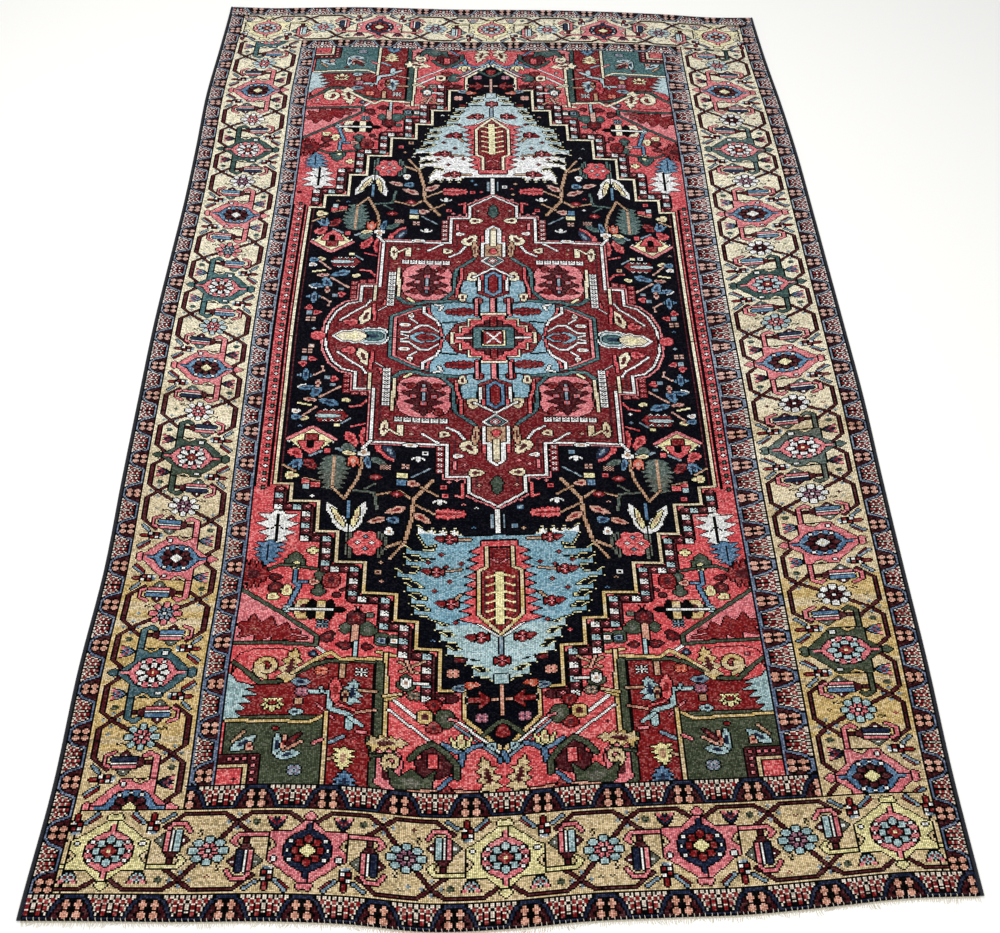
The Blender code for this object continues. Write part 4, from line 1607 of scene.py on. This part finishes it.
def knotted_slab(name, knots, low, high, faces_down, materials):
    """A closed slab whose knotted side carries the cartoon, on top or below.

    low and high give its heights at places on the loom, in knots across and along.
    """
    lines_x = loom_lines(COLUMNS, COLUMN_WIDTH)
    lines_y = loom_lines(ROWS, ROW_DEPTH)
    wide = len(lines_x)
    tall = len(lines_y)
    column, row = np.meshgrid(lines_x, lines_y)
    x, y = drifted(column, row)
    shown, hidden = (low, high) if faces_down else (high, low)
    points = np.stack([x, y, shown(column, row)], -1).reshape(-1, 3)

    corner = (np.arange(tall - 1)[:, None] * wide + np.arange(wide - 1)).ravel()
    grid = np.stack([corner, corner + 1, corner + wide + 1, corner + wide], -1)
    rim = np.concatenate([
        np.arange(wide),
        np.arange(2, tall) * wide - 1,
        np.arange(tall * wide - 1, (tall - 1) * wide - 1, -1),
        np.arange(tall - 2, 0, -1) * wide,
    ])
    below = len(points) + np.arange(len(rim))
    around = np.roll(np.arange(len(rim)), -1)
    walls = np.stack([rim, below, below[around], rim[around]], -1)
    rim_column = column.ravel()[rim]
    rim_row = row.ravel()[rim]
    cap_points = np.stack([x.ravel()[rim], y.ravel()[rim], hidden(rim_column, rim_row)], -1)

    # The hidden cap: one face across each row of the rim, and one at either end.
    right = wide - 1 + np.arange(tall)
    left = (len(rim) - np.arange(tall)) % len(rim)
    cap = [tuple(below[[left[k], left[k + 1], right[k + 1], right[k]]]) for k in range(1, tall - 2)]
    cap.append(tuple(below[[*range(right[1], -1, -1), left[1]]]))
    cap.append(tuple(below[[*range(left[tall - 2], right[tall - 2] - 1, -1)]]))

    faces = [tuple(face) for face in np.concatenate([grid, walls])] + cap
    if faces_down:
        faces = [face[::-1] for face in faces]
    piece = new_piece(
        name, np.concatenate([points, cap_points]), faces, materials, "pile", "rug_body"
    )
    carry_knots(piece.data, knots, column.ravel(), row.ravel(), rim, len(grid), len(walls))
    return piece


def carry_knots(mesh, knots, column, row, rim, grid_count, wall_count):
    """Gives each face its block's dyes, and each corner its places on the loom."""
    column = np.concatenate([column, column[rim]])
    row = np.concatenate([row, row[rim]])
    loops = np.empty(len(mesh.loops), np.int32)
    mesh.loops.foreach_get("vertex_index", loops)
    starts = np.empty(len(mesh.polygons), np.int32)
    sizes = np.empty(len(mesh.polygons), np.int32)
    mesh.polygons.foreach_get("loop_start", starts)
    mesh.polygons.foreach_get("loop_total", sizes)
    face_of = np.repeat(np.arange(len(starts)), sizes)
    middle_x = np.bincount(face_of, column[loops]) / sizes
    middle_y = np.bincount(face_of, row[loops]) / sizes
    block_x = np.minimum(middle_x // BLOCK, COLUMNS // BLOCK - 1).astype(int)
    block_y = np.minimum(middle_y // BLOCK, ROWS // BLOCK - 1).astype(int)
    dyes = packed_blocks(knots)[block_y, block_x]
    carried = mesh.attributes.new("knot_dyes", "FLOAT_COLOR", "FACE")
    carried.data.foreach_set("color", dyes.ravel())

    # A wall shows the yarn of the knots at the edge, so it reads their middles.
    x = np.clip(column[loops], 0.0, COLUMNS)
    y = np.clip(row[loops], 0.0, ROWS)
    wall = (face_of >= grid_count) & (face_of < grid_count + wall_count)
    x_inner = np.where(wall, np.clip(x, 0.5, COLUMNS - 0.5), x)
    y_inner = np.where(wall, np.clip(y, 0.5, ROWS - 0.5), y)
    local_x = x_inner - block_x[face_of] * BLOCK
    local_y = y_inner - block_y[face_of] * BLOCK
    add_layer(mesh, "block", np.stack([local_x, local_y], -1))
    add_layer(mesh, "loom", np.stack([x_inner, y_inner], -1))
    cap = face_of >= grid_count + wall_count
    on_cap = loops >= len(column) - len(rim)
    add_layer(mesh, "OFBake", bake_places(x, y, wall, cap, on_cap))
    second = np.arange(len(starts)) >= grid_count + wall_count
    mesh.polygons.foreach_set("material_index", second.astype(np.int32))
    mesh.update()


# The layout for baking: its margin, how far into it the walls' edges reach, and the cap's place.
BAKE_MARGIN = 0.02
WALL_EDGES = (0.002, 0.012)
CAP_PLACE = 0.001
CAP_SIZE = 0.004


def bake_places(x, y, wall, cap, on_cap):
    """A flat layout for baking: the knotted side in the middle, the walls in strips round it."""
    outwards = np.where(on_cap & wall, WALL_EDGES[1], WALL_EDGES[0])
    shares = []
    for place, count in ((x, COLUMNS), (y, ROWS)):
        share = BAKE_MARGIN + (1 - 2 * BAKE_MARGIN) * place / count
        share = np.where(wall & (place <= 0), BAKE_MARGIN - outwards, share)
        share = np.where(wall & (place >= count), 1 - BAKE_MARGIN + outwards, share)
        shares.append(np.where(cap, CAP_PLACE + CAP_SIZE * place / count, share))
    return np.stack(shares, -1)


# A side cord's faces round it, and its width in the groove between two turns of its wool.
CORD_SIDES = 10
CORD_GROOVE = 0.86


def wound_cord(name, first_share, cad_node, settings, material):
    """A side cord with every turn of its wool: a flattened tube with a ridge for each turn."""
    turns = int(RUG_LENGTH / settings.wrap_pitch)
    sides = CORD_SIDES
    rings = 2 * turns + 1
    ring = np.arange(rings)[:, None]
    angle = (2 * np.pi * (np.arange(sides) + 0.5) / sides)[None, :]
    ridge = np.where(ring % 2 == 1, 1.0, CORD_GROOVE)
    # The yarn climbs as it goes round, so the turns lean across the cord.
    lean = 0.5 * np.cos(angle) * (ring > 0) * (ring < rings - 1)
    share = first_share + CORD_WIDTH / RUG_WIDTH * (0.5 + 0.5 * ridge * np.cos(angle))
    height = CORD_HEIGHT * 0.5 * (1 + ridge * np.sin(angle))
    along = (ring + lean) / (rings - 1)
    x, y = rug_point(share, along)
    points = np.stack([x, y, height + 0 * share], -1).reshape(-1, 3)
    start = np.arange(rings - 1)[:, None] * sides
    k = np.arange(sides)[None, :]
    beside = (k + 1) % sides
    skin = np.stack([start + beside, start + k, start + k + sides, start + beside + sides], -1)
    faces = [tuple(face) for face in skin.reshape(-1, 4)]
    faces += [tuple(range(sides)), tuple(range(rings * sides - 1, (rings - 1) * sides - 1, -1))]
    piece = new_piece(name, points, faces, [material], "overcast_wool", cad_node)
    corner_ring = np.array([0, 0, 1, 1])
    corner_side = np.array([1, 0, 0, 1])
    turn = (np.arange(rings - 1)[:, None, None] + corner_ring) / 2 + 0 * k[..., None]
    around = (k[..., None] + corner_side) / sides + 0 * turn
    sizes = np.stack([around, turn], -1).reshape(-1, 2)
    ends = np.tile([[0.5, 0.5]], (2 * sides, 1))
    add_layer(piece.data, "wrap", np.concatenate([sizes, ends]))
    add_layer(piece.data, "OFBake", np.concatenate([sizes / (1.0, turns), ends]))
    return piece


class Yarns:
    """Gathers lengths of yarn as small closed tubes in one mesh."""

    def __init__(self, sides):
        self.sides = sides
        self.points = []
        self.faces = []
        self.places = []
        self.count = 0

    def add(self, path, radii, upright=1.0):
        """One yarn through path, with a radius at each of its points and its height to width."""
        path = np.asarray(path, float)
        ahead = np.gradient(path, axis=0)
        ahead /= np.linalg.norm(ahead, axis=1)[:, None]
        side = np.cross(ahead, (0.0, 0.0, 1.0))
        long_side = np.linalg.norm(side, axis=1)
        side = np.where(long_side[:, None] > 0.2, side / np.maximum(long_side, 1e-6)[:, None], (1, 0, 0))
        lift = np.cross(side, ahead)
        angle = 2 * np.pi * np.arange(self.sides) / self.sides
        first = len(self.points)
        for centre, radius, across, up in zip(path, radii, side, lift):
            for a in angle:
                around = across * math.cos(a) + up * math.sin(a) * upright
                self.points.append(centre + radius * around)
        for ring in range(len(path) - 1):
            for k in range(self.sides):
                here = first + ring * self.sides
                beside = (k + 1) % self.sides
                quad = (here + k, here + beside, here + beside + self.sides, here + k + self.sides)
                self.faces.append(quad)
                low = self.count + k / self.sides
                high = self.count + (k + 1) / self.sides
                self.places += [(low, ring), (high, ring), (high, ring + 1), (low, ring + 1)]
        last = first + (len(path) - 1) * self.sides
        self.faces.append(tuple(first + k for k in reversed(range(self.sides))))
        self.faces.append(tuple(last + k for k in range(self.sides)))
        self.places += [(self.count + 0.5, 0.5)] * (2 * self.sides)
        self.count += 1

    def piece(self, name, material, body_slot, *nodes):
        """The gathered yarns as one piece."""
        piece = new_piece(name, self.points, self.faces, [material], body_slot, *nodes)
        places = np.array(self.places)
        add_layer(piece.data, "strand", places)
        add_layer(piece.data, "OFBake", places / (self.count, max(places[:, 1].max(), 1)))
        return piece


FRINGE_SEED = 29
STITCH_SEED = 36
WEB_DEPTH = 0.0035
WEB_HEIGHT = 0.0022
# The web's wefts: their number, radius, height to width, wave over the warps and stations.
WEFTS = 3
WEFT_RADIUS = 0.00068
WEFT_UPRIGHT = 1.25
WEFT_WAVE = 0.00025
WEFT_STATIONS = 241
# A worn lock's shortest and longest length and most lean, and what each warp end adds to it.
LOCK_LENGTHS = (0.006, 0.015)
LOCK_LEAN = 0.006
WARP_LEAN = 0.002
WARP_CURL = 0.0015
WARP_RADII = (0.00075, 0.0007, 0.0006, 0.0003)
# A stitch after its first two points: share of its lean, metres outwards and height.
STITCH_PATH = (
    # lean_share, outwards, height
    (0.5, -0.0028, 0.0084), (0.8, -0.0006, 0.0066), (1.0, 0.0001, 0.0038), (1.1, 0.0007, 0.0014),
)
STITCH_RADII = (0.0005, 0.0007, 0.00075, 0.00075, 0.0007, 0.0005)
# The far end has lost more of its fringe.
FAR_WEAR = 0.7


def end_point(u, v_end, outwards, reach):
    """X and Y of a place beyond an end of the rug, as far out as reach."""
    x, y = rug_point(u, v_end)
    return float(x), float(y) + outwards * reach


def warp_fringe(name, v_end, outwards, wear, settings, material, cad_node):
    """A narrow cotton web past the last row, and the warp ends frayed beyond it."""
    chance = random.Random(FRINGE_SEED + int(outwards))
    yarns = Yarns(4)
    # The web: cotton wefts side by side, packed along the whole end.
    stations = np.linspace(CORD_SHARE, 1 - CORD_SHARE, WEFT_STATIONS)
    for weft in range(WEFTS):
        reach = GAP + WEB_DEPTH * (weft + 0.5) / WEFTS
        wave = [WEFT_WAVE * (-1) ** (place + weft) for place in range(len(stations))]
        path = []
        for u, rise in zip(stations, wave):
            x, y = end_point(u, v_end, outwards, reach)
            path.append((x, y, WEB_HEIGHT / 2 + rise))
        yarns.add(path, [WEFT_RADIUS] * len(path), WEFT_UPRIGHT)
    # Warp ends leave the web in pairs and gather in small worn locks.
    lock_lean = 0.0
    lock_length = 0.0
    left_in_lock = 0
    count = settings.warp_ends
    for warp in range(count):
        if left_in_lock == 0:
            left_in_lock = chance.randint(3, 8)
            lock_lean = chance.uniform(-LOCK_LEAN, LOCK_LEAN)
            lock_length = chance.uniform(*LOCK_LENGTHS) * wear
        left_in_lock -= 1
        u = CORD_SHARE + (1 - 2 * CORD_SHARE) * (warp + 0.5) / count
        length = lock_length * chance.uniform(0.6, 1.1)
        lean = lock_lean + chance.uniform(-WARP_LEAN, WARP_LEAN)
        curl = chance.uniform(-WARP_CURL, WARP_CURL)
        path = []
        for share in (0.0, 0.35, 0.7, 1.0):
            x, y = end_point(u, v_end, outwards, GAP + WEB_DEPTH * 0.6 + length * share)
            x += lean * share * share + curl * math.sin(share * 3)
            path.append((x, y, 0.0008 + WEB_HEIGHT * 0.4 * (1 - share) ** 2))
        yarns.add(path, WARP_RADII)
    return yarns.piece(name, material, "warp_cotton", cad_node)


def end_stitches(name, v_end, outwards, settings, material, cad_node):
    """White cotton overcast in spaced stitches over the last rows, to keep them from fraying."""
    chance = random.Random(STITCH_SEED + int(outwards))
    yarns = Yarns(5)
    count = int(RUG_WIDTH / settings.stitch_pitch)
    for stitch in range(1, count):
        u = CORD_SHARE + (1 - 2 * CORD_SHARE) * (stitch + chance.uniform(-0.15, 0.15)) / count
        lean = chance.uniform(0.0004, 0.0022)
        inset = chance.uniform(0.005, 0.0075)
        path = []
        start = ((0.0, -inset, 0.0066), (0.2, -inset * 0.8, 0.0087))
        for share, reach, height in (*start, *STITCH_PATH):
            x, y = end_point(u, v_end, outwards, reach)
            path.append((x + lean * share, y, height))
        yarns.add(path, STITCH_RADII)
    return yarns.piece(name, material, "warp_cotton", cad_node)


# ---------------------------------------------------------------------------
# The stage
# ---------------------------------------------------------------------------
# Where the photograph was taken from, in the frame, and its turns in radians.
CAMERA_PLACE = (-0.07323, -2.08614, 2.37593)
CAMERA_YAW = 0.03914
CAMERA_PITCH = 0.98537
CAMERA_ROLL = 0.02754
LENS_MM = 36.0
SENSOR_MM = 36.0
FLOOR_HALF = 9.0
FLOOR_DROP = 0.0002
# Softboxes in the frame: name, place, aim, width and depth, watts.
SOFTBOXES = (
    ("overhead_softbox", (-0.6, 0.2, 4.2), (0, 0.1, 0), (5.0, 5.0), 210.0),
    ("front_softbox", (0.8, -4.6, 2.8), (0, 0, 0), (3.5, 2.5), 60.0),
)
SKY_COLOUR = (0.92, 0.95, 1.0, 1.0)
SKY_STRENGTH = 0.55


def add_camera():
    """A camera at the photograph's angle."""
    cos_pitch = math.cos(CAMERA_PITCH)
    ahead = Vector((
        math.sin(CAMERA_YAW) * cos_pitch, math.cos(CAMERA_YAW) * cos_pitch, -math.sin(CAMERA_PITCH)
    ))
    right = ahead.cross(Vector((0, 0, 1))).normalized()
    up = right.cross(ahead)
    right_rolled = math.cos(CAMERA_ROLL) * right + math.sin(CAMERA_ROLL) * up
    up_rolled = math.cos(CAMERA_ROLL) * up - math.sin(CAMERA_ROLL) * right
    lens = bpy.data.cameras.new("studio_camera")
    lens.lens = LENS_MM
    lens.sensor_width = SENSOR_MM
    lens.sensor_fit = "HORIZONTAL"
    camera = bpy.data.objects.new("studio_camera", lens)
    turn = np.array((right_rolled, up_rolled, -ahead)).T.tolist()
    camera.matrix_world = Matrix.LocRotScale(Vector(CAMERA_PLACE), Matrix(turn), None)
    bpy.context.scene.collection.objects.link(camera)
    bpy.context.scene.camera = camera


def add_area_light(name, place, aim, size, power):
    """A large soft area light at a place, turned to an aim."""
    lamp = bpy.data.lights.new(name, "AREA")
    lamp.shape = "RECTANGLE"
    lamp.size, lamp.size_y = size
    lamp.energy = power
    light = bpy.data.objects.new(name, lamp)
    facing = (Vector(aim) - Vector(place)).to_track_quat("-Z", "Y")
    light.matrix_world = Matrix.LocRotScale(Vector(place), facing, None)
    bpy.context.scene.collection.objects.link(light)


# ---------------------------------------------------------------------------
# The add-on
# ---------------------------------------------------------------------------
# Dyes that a user may change, by the name of their setting.
USER_DYES = {"s": "field_rose", "n": "ground_navy", "g": "border_gold", "r": "madder_red"}


class RugSettings(bpy.types.PropertyGroup):
    """Sizes and colours of the rug's finish. The frame fixes its outline."""

    field_rose: FloatVectorProperty(
        name="Field rose", description="Rose madder of the field and corner flowers",
        subtype="COLOR", min=0, max=1, default=linear(near_lot("s")),
    )
    ground_navy: FloatVectorProperty(
        name="Medallion navy", description="Midnight blue of the stepped ground",
        subtype="COLOR", min=0, max=1, default=linear(near_lot("n")),
    )
    border_gold: FloatVectorProperty(
        name="Border gold", description="Camel gold of the main border's ground",
        subtype="COLOR", min=0, max=1, default=linear(near_lot("g")),
    )
    madder_red: FloatVectorProperty(
        name="Madder red", description="Deep madder of the medallion and panels",
        subtype="COLOR", min=0, max=1, default=linear(near_lot("r")),
    )
    lot_change: FloatProperty(
        name="Dye lot change", description="How far each dye shifts towards the far end",
        min=0, max=1, default=1.0,
    )
    cord_colour: FloatVectorProperty(
        name="Side cords", description="Dark wool of the overcast side cords",
        subtype="COLOR", min=0, max=1, default=linear("#14151f"),
    )
    wrap_pitch: FloatProperty(
        name="Overcast pitch", description="Length of side cord taken by one turn of wool",
        unit="LENGTH", min=0.002, max=0.01, default=0.003,
    )
    fringe_colour: FloatVectorProperty(
        name="Fringe", description="Undyed cotton of the warp ends and end stitches",
        subtype="COLOR", min=0, max=1, default=linear("#dfd8c6"),
    )
    warp_ends: IntProperty(
        name="Warp ends", description="Frayed warp yarns at each end", min=60, max=960, default=480
    )
    stitch_pitch: FloatProperty(
        name="Stitch spacing", description="Distance between the white stitches at the ends",
        unit="LENGTH", min=0.006, max=0.05, default=0.0135,
    )


class RUG_OT_weave_body(bpy.types.Operator):
    """Weaves the knotted pile and its foundation"""

    bl_idname = "rug.weave_body"
    bl_label = "Weave pile and foundation"

    def execute(self, context):
        settings = context.scene.rug_settings
        knots = weave_cartoon()
        if knots.max() >= DYE_PLACES:
            raise RuntimeError("the cartoon uses more dyes than a knot can carry")
        pile = pile_material(settings)
        back = back_material(settings)
        lower = BACK_TOP + HIDDEN_GAP
        knotted_slab(
            "knotted_pile", knots, lambda c, r: lower + 0 * c, pile_height, False, [pile, back]
        )
        knotted_slab(
            "foundation_back", knots, lambda c, r: 0 * c, lambda c, r: BACK_TOP + 0 * c, True,
            [back, back],
        )
        return {"FINISHED"}


class RUG_OT_wind_cords(bpy.types.Operator):
    """Winds dark wool round the two side cords"""

    bl_idname = "rug.wind_cords"
    bl_label = "Wind side cords"

    def execute(self, context):
        settings = context.scene.rug_settings
        if "selvedge_left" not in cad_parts:
            raise RuntimeError("the frame has no side cords")
        wool = cord_material(settings)
        right_share = 1 - CORD_WIDTH / RUG_WIDTH
        wound_cord("overcast_cord_left", 0.0, "selvedge_left", settings, wool)
        wound_cord("overcast_cord_right", right_share, "selvedge_right", settings, wool)
        return {"FINISHED"}


class RUG_OT_finish_ends(bpy.types.Operator):
    """Frays the warp ends and overcasts both ends in spaced stitches"""

    bl_idname = "rug.finish_ends"
    bl_label = "Finish ends"

    def execute(self, context):
        settings = context.scene.rug_settings
        cotton = cotton_material(settings)
        for end, v_end, outwards, wear in (("near", 0.0, -1, 1.0), ("far", 1.0, 1, FAR_WEAR)):
            cad_node = "fringe_" + end
            if cad_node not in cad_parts:
                raise RuntimeError("the frame has no " + cad_node)
            warp_fringe(
                "warp_fringe_" + end, v_end, outwards, wear, settings, cotton, cad_node
            )
            end_stitches("end_stitches_" + end, v_end, outwards, settings, cotton, cad_node)
        return {"FINISHED"}


class RUG_OT_set_stage(bpy.types.Operator):
    """Lays the rug on a pale floor, under soft studio light, before the camera"""

    bl_idname = "rug.set_stage"
    bl_label = "Set stage"

    def execute(self, context):
        mesh = bpy.data.meshes.new("studio_floor")
        corners = [(-1, -1), (1, -1), (1, 1), (-1, 1)]
        points = [(x * FLOOR_HALF, y * FLOOR_HALF, -FLOOR_DROP) for x, y in corners]
        mesh.from_pydata(points, [], [(0, 1, 2, 3)])
        mesh.materials.append(floor_material())
        floor = bpy.data.objects.new("studio_floor", mesh)
        context.scene.collection.objects.link(floor)
        pile = bpy.data.objects.get("knotted_pile")
        if pile is None:
            raise RuntimeError("weave the body before setting the stage")
        for softbox in SOFTBOXES:
            add_area_light(*softbox)
        world = bpy.data.worlds.new("pale_studio")
        world.use_nodes = True
        background = world.node_tree.nodes["Background"]
        background.inputs["Color"].default_value = SKY_COLOUR
        background.inputs["Strength"].default_value = SKY_STRENGTH
        context.scene.world = world
        context.scene.view_settings.view_transform = "Standard"
        add_camera()
        return {"FINISHED"}


class RUG_PT_sidebar(bpy.types.Panel):
    """The rug's settings and steps"""

    bl_label = "Knotted rug"
    bl_idname = "RUG_PT_sidebar"
    bl_space_type = "VIEW_3D"
    bl_region_type = "UI"
    bl_category = "Rug"

    def draw(self, context):
        settings = context.scene.rug_settings
        for name in RugSettings.__annotations__:
            self.layout.prop(settings, name)
        for step in STEPS:
            self.layout.operator(step.bl_idname)


STEPS = (RUG_OT_weave_body, RUG_OT_wind_cords, RUG_OT_finish_ends, RUG_OT_set_stage)
CLASSES = (RugSettings, *STEPS, RUG_PT_sidebar)


def register():
    for cls in CLASSES:
        bpy.utils.register_class(cls)
    bpy.types.Scene.rug_settings = PointerProperty(type=RugSettings)


def unregister():
    del bpy.types.Scene.rug_settings
    for cls in reversed(CLASSES):
        bpy.utils.unregister_class(cls)


def main():
    register()
    bpy.ops.rug.weave_body()
    bpy.ops.rug.wind_cords()
    bpy.ops.rug.finish_ends()
    bpy.ops.rug.set_stage()


if __name__ == "__main__":
    main()
